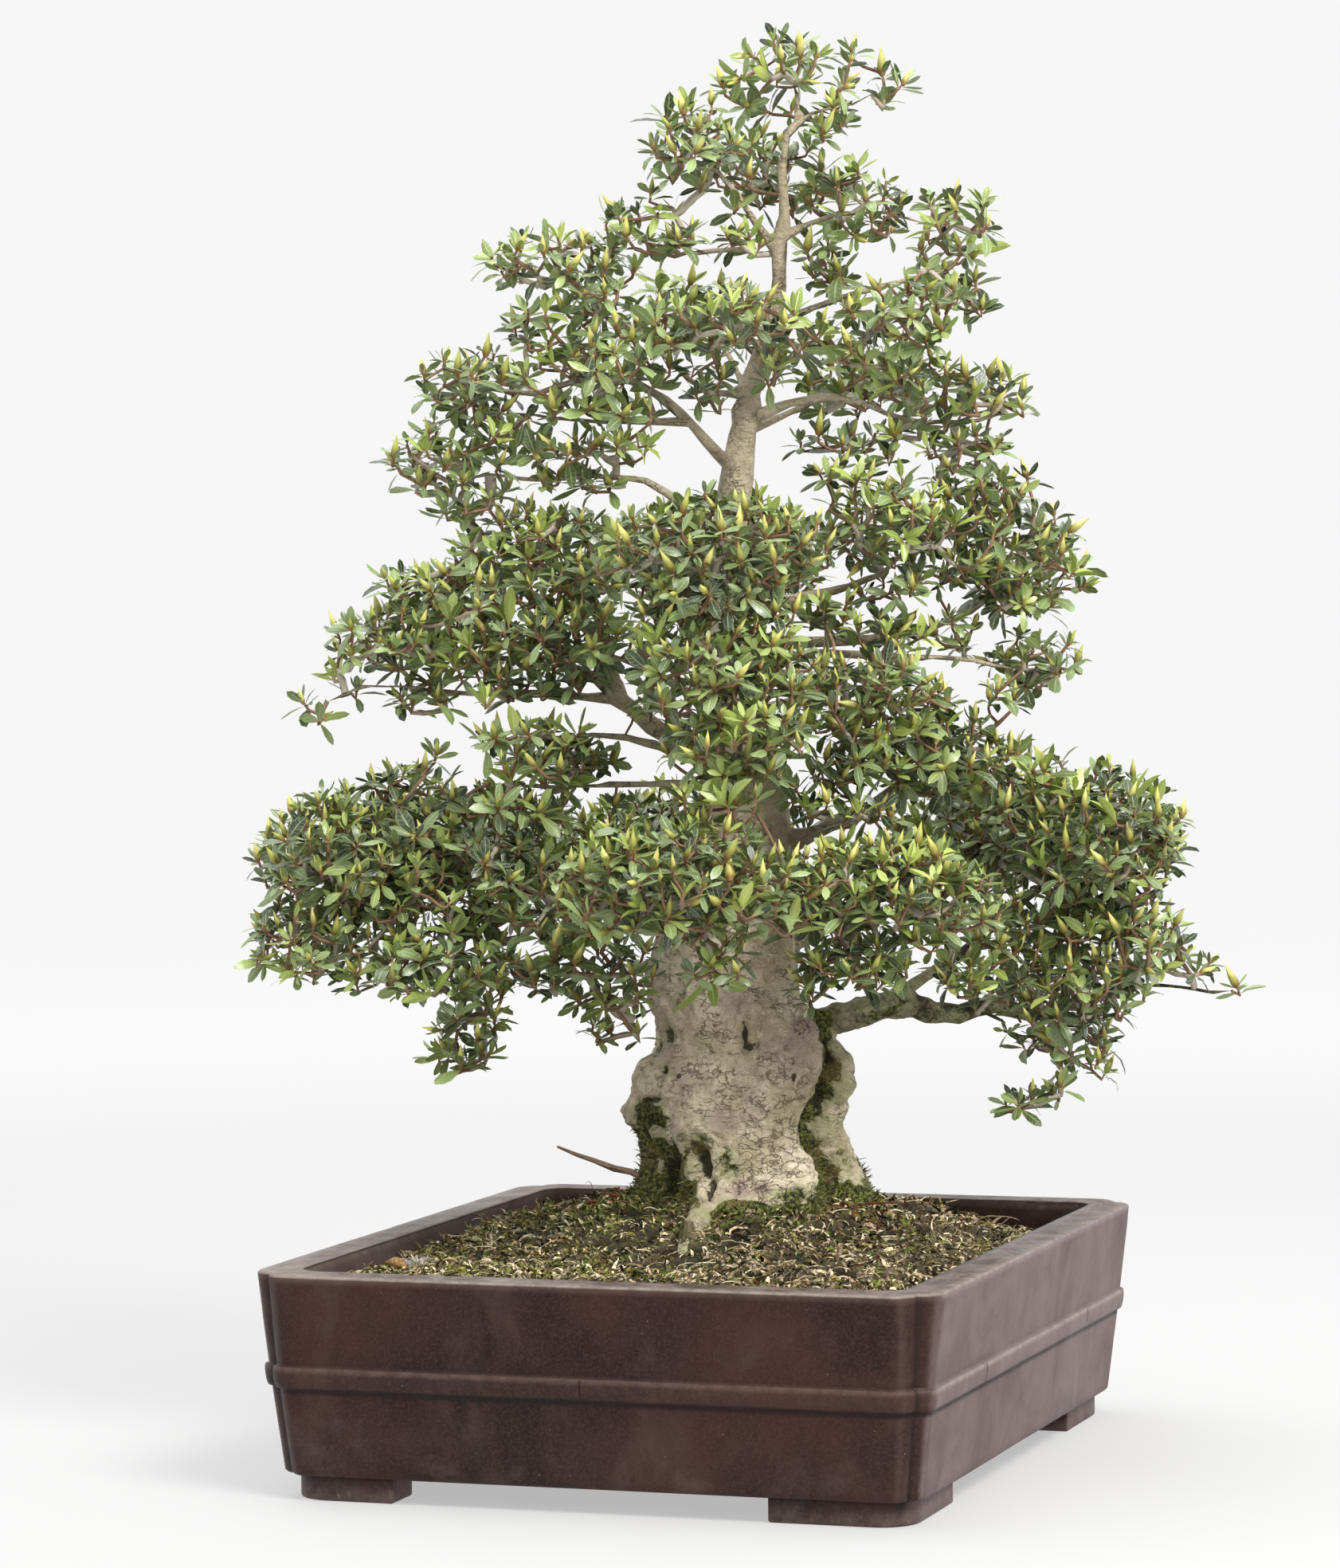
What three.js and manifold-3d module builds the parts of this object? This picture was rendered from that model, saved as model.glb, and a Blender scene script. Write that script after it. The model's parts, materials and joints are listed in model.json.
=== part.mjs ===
// Satsuki azalea bonsai in its unglazed clay pot.
//
// Millimetres, +Z up, standing on z = 0. The pot is built round the z axis with its front along
// X. The tree is built in a frame of its own (x to the right of its front, y away from its
// front, z up) that is turned about the pot's upright axis, and at the end the whole plant is
// shifted so that the origin lies under the middle of its box.
//
// A limb, a root and the trunk are all lofts: a stack of closed rings, joined into one solid
// piece of wood. Each mass of leaves is a lumpy solid on its own limb, cut clear of the wood
// that runs into it and of the masses beside it.

import * as THREE from 'three';
import { mergeVertices } from 'three/addons/utils/BufferGeometryUtils.js';
import Module from 'manifold-3d';

const wasm = await Module();
wasm.setup();

// ---------------------------------------------------------------- driving dimensions (mm)

const GAP = 0.3;                       // clearance between pieces that touch
const FINE_GAP = 0.45;                 // clearance cut round faceted wood and leaves

const POT = {
  length: 400,                         // outside of the rim along X
  depth: 460,                          // outside of the rim along Y
  height: 128,                         // foot underside to rim
  taper: 13.7,                         // how far each side leans in, rim to base
  footHeight: 14,
  footLengthX: 78,
  footLengthY: 91,
  footInset: 5.5,
  footWidth: 30,                       // width of each leg of the L-shaped foot
  lip: 21.7,                           // width of the flat rim
  cornerAtRim: 26,                     // size of the indented corner at the rim
  cornerAtBase: 17,
  floor: 13,                           // thickness of the floor
  wallAtFloor: 17,                     // thickness of the wall at the floor
  edgeRound: 1.4,                      // worn edge of the rim
};
const BELT = { top: 76.5, height: 12.7, proud: 2.2 };
const DRAIN = { radius: 17, offset: 105, sides: 20 };
const SCREEN = { side: 48, thickness: 1.2, holes: 4, pitch: 8.4, hole: 5.4 };
const CLIP = { radius: 0.9, reach: 32, riser: 1.6 };
const EARTH = {
  rimLevel: 110,                       // top of the dressing where it meets the wall
  frontRise: 23,                       // how much higher it lies along the front
  mound: 48,                           // extra height round the trunk
  moundReach: 113,                     // how far out the mound has faded to six tenths
  frontReach: 80,                      // the same towards the front
  shoulder: [110, 64],                 // a second rise, over a root at the right
  shoulderHeight: 9,
  shoulderReach: 36,
  rollOff: 9,                          // how far it drops along the sides and the back
  lumpHeight: 1.2,                     // small unevenness of the dressing
  lumpLength: 25,
  sideSteps: 4,                        // pieces that a side of each of its rings is cut into
  dressing: 9,                         // thickness of the moss dressing
};
const INNER_CORNER = 16;               // rounding of the pot's inside corners
const CUT = 1;                         // how far a cutting solid reaches past what it cuts
const ROD_SIDES = { root: 6, thickLimb: 7, thinLimb: 5, wire: 6 };
const THICK_LIMB = 7;                  // base radius from which a limb gets the extra sides
const LUMP_GRID = [8, 5];              // segments round and up a lump of leaves
const TREE_TURN = THREE.MathUtils.degToRad(18.9);   // turn of the tree's front from the pot's

const COLOUR = {
  clay: 0x5a3f3a, mesh: 0x2b2b2b, wire: 0x8f8f8a, soil: 0x8a6b45, moss: 0x77703f,
  bark: 0xa89a86, leaf: 0x4f6b3a,
};

// ---------------------------------------------------------------- solids and lofts

function material(colour, roughness, metalness = 0) {
  return new THREE.MeshStandardMaterial({ color: colour, roughness, metalness });
}

/** A closed geometry as a manifold solid. */
function solid(geometry) {
  const bare = geometry.clone();
  bare.deleteAttribute('normal');
  bare.deleteAttribute('uv');
  const merged = mergeVertices(bare, 1e-3);
  return new wasm.Manifold(new wasm.Mesh({
    numProp: 3,
    vertProperties: new Float32Array(merged.attributes.position.array),
    triVerts: new Uint32Array(merged.index.array),
  }));
}

/** A manifold solid as a geometry. */
function geometryOf(manifold) {
  const mesh = manifold.getMesh();
  const geometry = new THREE.BufferGeometry();
  geometry.setAttribute('position', new THREE.BufferAttribute(mesh.vertProperties, 3));
  geometry.setIndex(new THREE.BufferAttribute(mesh.triVerts, 1));
  geometry.computeVertexNormals();
  return geometry;
}

/** The largest connected body of a manifold solid. */
function largest(manifold) {
  return manifold.decompose().reduce((a, b) => (a.volume() > b.volume() ? a : b));
}

function piece(name, manifold, look) {
  const mesh = new THREE.Mesh(geometryOf(manifold), look);
  mesh.name = name;
  return mesh;
}

/** A closed solid through rings of equal length, each counter-clockwise seen from the last. */
function loft(rings) {
  const sides = rings[0].length;
  const steps = rings.length - 1;
  const geometry = new THREE.CylinderGeometry(1, 1, steps, sides, steps);
  const position = geometry.attributes.position;
  for (let i = 0; i < position.count; i += 1) {
    const ring = rings[Math.round(position.getY(i) + steps / 2)];
    const turn = Math.atan2(position.getX(i), position.getZ(i)) / (2 * Math.PI);
    const onRing = Math.hypot(position.getX(i), position.getZ(i)) > 0.5;
    const middle = ring.reduce((sum, v) => sum.add(v), new THREE.Vector3()).divideScalar(sides);
    const point = onRing ? ring[(Math.round(turn * sides) + sides) % sides] : middle;
    position.setXYZ(i, point.x, point.y, point.z);
  }
  return solid(geometry);
}

/** A round tapering rod along a smooth route, from radius `from` to radius `to`. */
function rod(route, from, to, sides, stepsPerLeg = 1) {
  const points = route.map((p) => new THREE.Vector3(...p));
  const curve = new THREE.CatmullRomCurve3(points, false, 'centripetal');
  const steps = Math.ceil((route.length - 1) * stepsPerLeg);
  const normal = new THREE.Vector3(0, 1, 0.3);   // no route starts along this direction
  const rings = [];
  for (let j = 0; j <= steps; j += 1) {
    const centre = curve.getPoint(j / steps);
    const along = curve.getTangent(j / steps);
    normal.addScaledVector(along, -normal.dot(along)).normalize();
    const across = along.clone().cross(normal);
    const radius = THREE.MathUtils.lerp(from, to, Math.sqrt(j / steps));
    const ring = [];
    for (let i = 0; i < sides; i += 1) {
      const angle = (2 * Math.PI * i) / sides;
      ring.push(centre.clone()
        .addScaledVector(normal, radius * Math.cos(angle))
        .addScaledVector(across, radius * Math.sin(angle)));
    }
    rings.push(ring);
  }
  return loft(rings);
}

function box(low, high) {
  const size = new THREE.Vector3(...high).sub(new THREE.Vector3(...low));
  const middle = new THREE.Vector3(...low).addScaledVector(size, 0.5);
  const geometry = new THREE.BoxGeometry(size.x, size.y, size.z);
  return solid(geometry.translate(middle.x, middle.y, middle.z));
}

function union(solids) {
  return solids.reduce((a, b) => a.add(b));
}

// ---------------------------------------------------------------- pot

/** Outline with indented corners: two quarter rounds that meet in a groove. */
function indentedOutline(halfX, halfY, corner, z, cornerSteps = 3) {
  const radius = corner * 0.55;
  const groove = Math.acos((corner / radius - 1) / Math.SQRT2) - Math.PI / 4;
  const points = [];
  const quarter = [];
  for (let i = 0; i <= cornerSteps; i += 1) {
    const a = THREE.MathUtils.lerp(-Math.PI / 2, -groove, i / cornerSteps);
    quarter.push([halfX - corner + radius * Math.cos(a), -halfY + radius + radius * Math.sin(a)]);
  }
  for (let i = cornerSteps - 1; i >= 0; i -= 1) {
    const a = THREE.MathUtils.lerp(-Math.PI / 2, -groove, i / cornerSteps);
    quarter.push([halfX - radius - radius * Math.sin(a), -halfY + corner - radius * Math.cos(a)]);
  }
  const mirror = (list, sx, sy) => list.map(([x, y]) => [sx * x, sy * y]);
  points.push(...quarter, ...mirror(quarter, 1, -1).reverse());
  points.push(...mirror(quarter, -1, -1), ...mirror(quarter, -1, 1).reverse());
  return points.map(([x, y]) => new THREE.Vector3(x, y, z));
}

/** Outline with plain rounded corners. */
function roundedOutline(halfX, halfY, corner, z, cornerSteps = 3) {
  const points = [];
  for (const [sx, sy, start] of [[1, -1, -0.5], [1, 1, 0], [-1, 1, 0.5], [-1, -1, 1]]) {
    for (let i = 0; i <= cornerSteps; i += 1) {
      const a = Math.PI * (start + (0.5 * i) / cornerSteps);
      const x = sx * (halfX - corner) + corner * Math.cos(a);
      const y = sy * (halfY - corner) + corner * Math.sin(a);
      points.push(new THREE.Vector3(x, y, z));
    }
  }
  return points;
}

const floorTop = POT.footHeight + POT.floor;

/** Half sizes and corner of the pot's outside at height z, `proud` mm out from the plain wall. */
function potRing(z, proud = 0) {
  const up = (z - POT.footHeight) / (POT.height - POT.footHeight);
  const lean = POT.taper * (1 - up);
  const corner = THREE.MathUtils.lerp(POT.cornerAtBase, POT.cornerAtRim, up ** 2);
  return indentedOutline(POT.length / 2 - lean + proud, POT.depth / 2 - lean + proud, corner, z);
}

/** Outline of the pot's inside at height z, `inset` mm in from the wall. */
function innerRing(z, inset = 0, cornerSteps = 3) {
  const up = (z - floorTop) / (POT.height - floorTop);
  const base = POT.taper + POT.wallAtFloor;
  const wall = THREE.MathUtils.lerp(base, POT.lip, up) + inset;
  return roundedOutline(
    POT.length / 2 - wall, POT.depth / 2 - wall, INNER_CORNER - inset, z, cornerSteps);
}

function drainBore(sign) {
  const length = POT.floor + 2 * CUT;
  const bore = new THREE.CylinderGeometry(DRAIN.radius, DRAIN.radius, length, DRAIN.sides);
  bore.rotateX(Math.PI / 2).translate(0, sign * DRAIN.offset, POT.footHeight + POT.floor / 2);
  return solid(bore);
}

function feet() {
  const x = POT.length / 2 - POT.taper;
  const y = POT.depth / 2 - POT.taper;
  const inset = POT.footInset;
  const top = POT.footHeight + CUT;    // sunk a little into the body above
  const slab = loft([0, top].map((z) => (
    indentedOutline(x - inset, y - inset, POT.cornerAtBase, z))));
  const legs = [];
  for (const sx of [-1, 1]) {
    for (const sy of [-1, 1]) {
      const span = (a, b) => [Math.min(a, b), Math.max(a, b)];
      const [x0, x1] = span(sx * (x - POT.footLengthX), sx * x);
      const [y0, y1] = span(sy * (y - inset - POT.footWidth), sy * y);
      const [x2, x3] = span(sx * (x - inset - POT.footWidth), sx * x);
      const [y2, y3] = span(sy * (y - POT.footLengthY), sy * y);
      const [low, high] = [-CUT, top + CUT];
      legs.push(box([x0, y0, low], [x1, y1, high]), box([x2, y2, low], [x3, y3, high]));
    }
  }
  return slab.intersect(union(legs));
}

function pot() {
  const belt = [[0, 0], [0.05, 0.7], [0.2, 1], [0.8, 1], [0.95, 0.7], [1, 0]].map(([up, out]) => (
    potRing(BELT.top - BELT.height * (1 - up), BELT.proud * out)));
  const body = loft([
    potRing(POT.footHeight),
    ...belt,
    potRing(POT.height - POT.edgeRound),
    potRing(POT.height, -POT.edgeRound),
  ]);
  const hollow = loft([
    innerRing(floorTop),
    innerRing(POT.height - POT.edgeRound),
    innerRing(POT.height, -POT.edgeRound),
    innerRing(POT.height + CUT, -POT.edgeRound),
  ]);
  return body.add(feet()).subtract(hollow).subtract(drainBore(1)).subtract(drainBore(-1));
}

// ---------------------------------------------------------------- drainage screens and wires

const screenTop = floorTop + GAP + SCREEN.thickness;

/** Offset of a screen's hole from its middle, for hole number i of a row. */
function meshHole(i) {
  return (i - (SCREEN.holes - 1) / 2) * SCREEN.pitch;
}

function drainScreen(sign) {
  const half = SCREEN.side / 2;
  const y = sign * DRAIN.offset;
  const base = floorTop + GAP;
  const plate = box([-half, y - half, base], [half, y + half, screenTop]);
  const r = SCREEN.hole / 2;
  const holes = [];
  for (let i = 0; i < SCREEN.holes; i += 1) {
    for (let j = 0; j < SCREEN.holes; j += 1) {
      const [hx, hy] = [meshHole(i), y + meshHole(j)];
      holes.push(box([hx - r, hy - r, base - CUT], [hx + r, hy + r, screenTop + CUT]));
    }
  }
  return plate.subtract(union(holes));
}

/** A wire clip: over the screen, down through two of its holes and out under the floor. */
function screenClip(sign, grow = 0) {
  const y = sign * DRAIN.offset + meshHole(2);
  const over = screenTop + GAP + CLIP.radius;
  const under = POT.footHeight - 2 * GAP - CLIP.radius;
  const leg = meshHole(SCREEN.holes - 1);
  const route = [
    [-CLIP.reach, y, under], [-leg - 3, y, under], [-leg - 0.4, y, under + 1], [-leg, y, under + 4],
    [-leg, y, over - 3], [-leg + 1, y, over - 0.4], [-leg + 4, y, over], [0, y, over + CLIP.riser],
    [leg - 4, y, over], [leg - 1, y, over - 0.4], [leg, y, over - 3],
    [leg, y, under + 4], [leg + 0.4, y, under + 1], [leg + 3, y, under], [CLIP.reach, y, under],
  ];
  return rod(route, CLIP.radius + grow, CLIP.radius + grow, ROD_SIDES.wire);
}

/** The room that the screens and their clips take above the floor. */
function screenSpace() {
  const half = SCREEN.side / 2 + GAP;
  return union([-1, 1].flatMap((sign) => [
    screenClip(sign, FINE_GAP),
    box(
      [-half, sign * DRAIN.offset - half, floorTop],
      [half, sign * DRAIN.offset + half, screenTop + GAP],
    ),
  ]));
}

// ---------------------------------------------------------------- soil and moss dressing

/** A ring with its long straight sides cut into equal pieces. */
function divided(ring, steps) {
  return ring.flatMap((v, i) => {
    const next = ring[(i + 1) % ring.length];
    const count = v.distanceTo(next) > 2 * INNER_CORNER ? steps : 1;
    return Array.from({ length: count }, (_, k) => v.clone().lerp(next, k / count));
  });
}

/** Height of the top of the moss at a place in the pot. */
function mossHeight(x, y) {
  const front = Math.max(0, -y / (POT.depth / 2)) ** 2;
  const reachY = y < 0 ? EARTH.frontReach : EARTH.moundReach;
  const mound = Math.exp(-0.5 * ((x / EARTH.moundReach) ** 2 + (y / reachY) ** 2));
  const off = Math.hypot(x - EARTH.shoulder[0], y - EARTH.shoulder[1]) / EARTH.shoulderReach;
  const lumps = EARTH.lumpHeight * Math.sin(x / EARTH.lumpLength) * Math.cos(y / EARTH.lumpLength);
  const toWall = Math.max(
    Math.abs(x) / (POT.length / 2 - POT.lip),
    y / (POT.depth / 2 - POT.lip),
  );
  return EARTH.rimLevel + EARTH.frontRise * front + EARTH.mound * mound
    + EARTH.shoulderHeight * Math.exp(-0.5 * off ** 2) + lumps - EARTH.rollOff * toWall ** 6;
}

/** Everything in the pot up to a depth under the top of the moss, `inset` mm off the wall. */
function ground(depth, inset) {
  const shares = [1, 0.92, 0.78, 0.6, 0.4, 0.2];   // rings of the top, as shares of the outline
  const outline = (z) => divided(innerRing(z, inset, 1), EARTH.sideSteps);
  const edge = outline(EARTH.rimLevel - depth).map((v, i) => outline(mossHeight(v.x, v.y) - depth)[i]);
  const top = shares.map((share) => (
    edge.map((v) => {
      const x = v.x * share;
      const y = v.y * share;
      return new THREE.Vector3(x, y, mossHeight(x, y) - depth);
    })));
  return loft([outline(floorTop + GAP), ...top]);
}

function soil() {
  return ground(EARTH.dressing + 2 * GAP, GAP);
}

function moss() {
  return ground(0, GAP).subtract(ground(EARTH.dressing, -1));
}

// ---------------------------------------------------------------- trunk, roots and limbs

/** Trunk sections: height, middle x and y, half width and half depth. */
const TRUNK = [
  [84, 16, 8, 44, 38], [104, 18, 8, 62, 54], [122, 21, 8, 72, 60], [140, 22, 8, 70, 57],
  [156, 21, 8, 65, 53], [172, 19, 8, 63, 51], [186, 16, 7, 61, 50], [198, 15, 6, 60, 49],
  [210, 16, 5, 60, 48], [222, 18, 4, 59, 46], [234, 20, 3, 54, 44], [246, 19, 2, 51, 42],
  [258, 12, 1, 46, 40], [270, 8, 0, 45, 39], [286, 7, 0, 43, 37], [304, 10, 0, 40, 35],
  [324, 14, 0, 36, 32], [346, 18, 0, 32, 29], [370, 20, 0, 28, 26], [396, 20, 0, 25, 24],
  [424, 15, 0, 21, 21], [452, 10, 0, 18, 18], [482, 9, 0, 15.5, 15], [516, 12, 0, 12.5, 12],
  [552, 17, 0, 10.5, 10], [590, 22, 0, 8.8, 8.5], [620, 27, 0, 7.4, 7], [650, 38, 0, 5.8, 5.6],
  [676, 45, 0, 5, 4.8], [700, 45, 0, 4.5, 4.4], [724, 49, 0, 3.8, 3.8], [748, 47, 0, 3.3, 3.3],
  [772, 51, 0, 2.8, 2.8],
];
const FOOT_RINGS = 16;                 // sections from the foot up that need the finer outline
const FOOT_SIDES = 24;
const STEM_SIDES = 10;
const TENON = 0.92;                    // the stem starts inside the foot, at this share of its size

/** Swellings and hollows of the trunk: bearing (degrees from the right, the front is 270),
    height, height of the swelling, and their half widths in degrees and mm. */
const BURLS = [
  { bearing: 182, z: 214, out: 4, wide: 22, tall: 12 },
  { bearing: 186, z: 199, out: 6, wide: 10, tall: 7 },
  { bearing: 216, z: 198, out: -11, wide: 11, tall: 8 },
  { bearing: 205, z: 176, out: -4, wide: 20, tall: 10 },
  { bearing: 240, z: 148, out: -15, wide: 11, tall: 16 },
  { bearing: 258, z: 134, out: 12, wide: 11, tall: 13 },
  { bearing: 286, z: 148, out: 7, wide: 22, tall: 15 },
  { bearing: 306, z: 162, out: 5, wide: 12, tall: 16 },
  { bearing: 322, z: 196, out: -11, wide: 7, tall: 34 },
  { bearing: 325, z: 150, out: -14, wide: 8, tall: 22 },
  { bearing: 345, z: 216, out: 6, wide: 12, tall: 22 },
  { bearing: 352, z: 148, out: 9, wide: 16, tall: 14 },
  { bearing: 30, z: 140, out: 8, wide: 16, tall: 18 },
  { bearing: 85, z: 150, out: 8, wide: 18, tall: 20 },
  { bearing: 60, z: 190, out: -8, wide: 10, tall: 30 },
  { bearing: 120, z: 175, out: -7, wide: 9, tall: 34 },
  { bearing: 148, z: 142, out: 9, wide: 16, tall: 20 },
  { bearing: 100, z: 238, out: 5, wide: 20, tall: 14 },
];

function burlAt(bearing, z) {
  return BURLS.reduce((sum, burl) => {
    const turn = (((bearing - burl.bearing + 540) % 360) - 180) / burl.wide;
    const rise = (z - burl.z) / burl.tall;
    return sum + burl.out * Math.exp(-0.5 * (turn * turn + rise * rise));
  }, 0);
}

/** A stretch of the trunk through some of its sections. */
function trunkStretch(sections, sides, grow) {
  return loft(sections.map(([z, x, y, halfWidth, halfDepth]) => {
    const ring = [];
    for (let i = 0; i < sides; i += 1) {
      const bearing = (360 * i) / sides;
      const a = THREE.MathUtils.degToRad(bearing);
      const out = burlAt(bearing, z) + grow;
      ring.push(new THREE.Vector3(
        x + (halfWidth + out) * Math.cos(a), y + (halfDepth + out) * Math.sin(a), z));
    }
    return ring;
  }));
}

function trunk(grow = 0) {
  const foot = trunkStretch(TRUNK.slice(0, FOOT_RINGS), FOOT_SIDES, grow);
  const [z, x, y, halfWidth, halfDepth] = TRUNK[FOOT_RINGS - 2];
  const tenon = [z, x, y, halfWidth * TENON, halfDepth * TENON];
  const stem = trunkStretch([tenon, ...TRUNK.slice(FOOT_RINGS - 1)], STEM_SIDES, grow);
  return foot.add(stem);
}

/** Surface roots that run out and dive into the soil. */
const ROOTS = [
  { route: [[4, -34, 158], [-6, -60, 147], [-14, -84, 138], [-24, -112, 112]], from: 15, to: 4 },
  { route: [[58, -26, 126], [82, -48, 110], [108, -74, 84], [126, -96, 56]], from: 17, to: 4 },
  { route: [[64, 10, 130], [94, 16, 112], [122, 26, 86], [136, 32, 58]], from: 17, to: 4 },
  { route: [[46, 46, 126], [68, 78, 106], [88, 108, 76], [98, 130, 54]], from: 15, to: 4 },
  { route: [[2, 50, 126], [-16, 84, 104], [-34, 114, 74], [-44, 138, 54]], from: 15, to: 4 },
  { route: [[-30, 12, 126], [-60, 18, 108], [-90, 26, 82], [-112, 34, 54]], from: 14, to: 4 },
];

/** Limbs: the route of each in the tree frame, and its radius at the base and the tip. */
const LIMBS = [
  // crown
  { route: [[45, 0, 697], [33, -1, 716], [23, -3, 731], [13, -7, 744], [-4, -14, 760]], from: 4, to: 1.8 },
  { route: [[50, 0, 766], [58, 0, 782], [54, 2, 800]], from: 2.8, to: 1.6 },
  { route: [[51, 0, 770], [66, 0, 782], [86, 3, 785], [102, 5, 793]], from: 2.6, to: 1.4 },
  { route: [[49, 1, 726], [45, 22, 739], [36, 46, 752]], from: 3, to: 1.6 },
  { route: [[46, 0, 708], [66, -3, 718], [96, -9, 724], [142, 4, 713]], from: 3.2, to: 1.6 },
  { route: [[40, -1, 656], [70, -10, 670], [108, -18, 680], [142, -12, 688]], from: 3.6, to: 1.8 },
  { route: [[35, -1, 642], [28, -24, 650], [20, -48, 658]], from: 3.4, to: 1.6 },
  // shoulders
  { route: [[28, 0, 622], [15, 0, 619], [0, 0, 621], [-14, -1, 634], [-44, -2, 660], [-80, 0, 690]], from: 3.8, to: 1.8 },
  { route: [[26, 2, 620], [16, 32, 642], [4, 72, 664]], from: 3.6, to: 1.8 },
  { route: [[20, 0, 566], [9, 0, 583], [-8, 0, 603], [-30, -6, 622], [-60, -16, 630], [-92, -6, 620], [-130, 4, 624]], from: 5.4, to: 2 },
  { route: [[-7, 0, 602], [-28, 1, 603], [-50, 0, 603], [-84, 2, 606], [-112, 4, 610]], from: 3.2, to: 1.6 },
  { route: [[12, 0, 522], [-8, 0, 552], [-24, 0, 563], [-45, 0, 573], [-90, 3, 569], [-121, 6, 574], [-150, 10, 570]], from: 4.8, to: 1.5 },
  { route: [[24, 0, 602], [50, 0, 613], [82, 0, 616], [98, 0, 611], [112, 0, 603], [154, 0, 601], [176, 0, 606]], from: 4.6, to: 1.8 },
  { route: [[30, -1, 630], [56, -12, 640], [92, -19, 646]], from: 3.2, to: 1.6 },
  { route: [[23, 2, 596], [50, 36, 608], [92, 76, 626]], from: 4, to: 1.8 },
  // middle tier
  { route: [[14, -6, 508], [12, -46, 518], [6, -86, 527]], from: 6, to: 2 },
  { route: [[14, 0, 490], [36, -1, 497], [66, -4, 502], [98, -10, 510], [122, -18, 532]], from: 5.6, to: 2 },
  { route: [[16, 3, 470], [50, 8, 474], [82, 10, 474], [116, 10, 477], [146, 8, 486], [184, 2, 512]], from: 6.4, to: 2 },
  { route: [[18, -2, 458], [44, -5, 465], [76, -6, 468], [114, -5, 464], [142, -5, 465], [172, -2, 458], [196, 6, 456]], from: 5, to: 1.6 },
  { route: [[8, 0, 402], [-18, 0, 417], [-41, 0, 434], [-54, 0, 450], [-61, 0, 492], [-76, 0, 514], [-92, 0, 530]], from: 9, to: 2 },
  { route: [[-53, 0, 448], [-76, 0, 460], [-100, 0, 466], [-135, 0, 466], [-168, 0, 478]], from: 5, to: 2 },
  { route: [[-46, 0, 440], [-76, -1, 444], [-106, -2, 446], [-142, -5, 446], [-168, -6, 450], [-196, -8, 452], [-222, -10, 442]], from: 4.4, to: 1.4 },
  { route: [[2, -4, 436], [-34, -17, 460], [-84, -30, 478]], from: 5, to: 1.8 },
  { route: [[9, -10, 448], [8, -52, 457], [6, -96, 468]], from: 5.6, to: 2 },
  { route: [[10, 6, 496], [9, 52, 510], [8, 104, 523]], from: 6, to: 2 },
  { route: [[20, -6, 430], [52, -32, 442], [90, -58, 450]], from: 5.4, to: 1.8 },
  // lower middle tier
  { route: [[4, -8, 408], [-26, -20, 414], [-60, -24, 423], [-84, -27, 420], [-118, -28, 425]], from: 4.8, to: 1.6 },
  { route: [[6, -12, 390], [-14, -25, 393], [-54, -30, 394], [-76, -30, 392], [-126, -29, 395]], from: 4.6, to: 1.6 },
  { route: [[26, -2, 346], [46, -6, 358], [73, -10, 367], [94, -12, 378], [118, -11, 396], [140, -10, 407]], from: 9, to: 2.4 },
  { route: [[18, -16, 394], [18, -68, 407], [18, -116, 419]], from: 6, to: 2 },
  // low tier
  { route: [[0, 0, 304], [-40, 4, 316], [-80, 6, 328], [-120, 5, 338], [-164, 2, 346], [-208, 0, 350]], from: 12, to: 3 },
  { route: [[-66, 6, 324], [-94, -10, 331], [-124, -20, 334], [-142, -32, 312], [-152, -40, 288]], from: 5, to: 1.8 },
  { route: [[8, -20, 312], [-4, -78, 328], [-16, -134, 340]], from: 10, to: 3 },
  { route: [[36, -14, 334], [64, -42, 336], [100, -86, 329]], from: 9, to: 2.6 },
  { route: [[36, 0, 262], [60, 0, 252], [94, 0, 260], [116, 0, 262], [130, 0, 257], [150, 0, 257], [163, 0, 262], [186, 2, 255], [206, 8, 257]], from: 14, to: 4 },
  { route: [[92, 0, 260], [108, -3, 268], [130, -6, 280], [158, -5, 300], [192, 0, 328], [224, 0, 350]], from: 6.4, to: 2.4 },
  { route: [[196, 5, 256], [237, 2, 269], [265, 0, 272], [295, 0, 266], [306, 0, 268]], from: 3, to: 1.4 },
  { route: [[36, 10, 292], [98, 54, 322], [168, 96, 351]], from: 10, to: 2.8 },
  { route: [[10, 18, 302], [-2, 84, 330], [-16, 142, 347]], from: 10, to: 3 },
  { route: [[-10, 12, 310], [-78, 56, 334], [-150, 95, 351]], from: 9, to: 2.6 },
  { route: [[-20, -18, 268], [-44, -26, 258], [-56, -28, 252]], from: 2.6, to: 1.4 },
  // dead shoot at the foot
  { route: [[-30, 8, 158], [-50, 5, 165], [-70, 2, 172], [-88, 0, 181]], from: 2.4, to: 1 },
];

function limb(spec, grow) {
  const sides = spec.from > THICK_LIMB ? ROD_SIDES.thickLimb : ROD_SIDES.thinLimb;
  return rod(spec.route, spec.from + grow, spec.to + grow, sides, 1.15);
}

function root(spec, grow) {
  return rod(spec.route, spec.from + grow, spec.to + grow, ROD_SIDES.root);
}

function wood(grow = 0) {
  return union([
    trunk(grow),
    ...ROOTS.map((spec) => root(spec, grow)),
    ...LIMBS.map((spec) => limb(spec, grow)),
  ]);
}

// ---------------------------------------------------------------- masses of leaves

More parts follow.
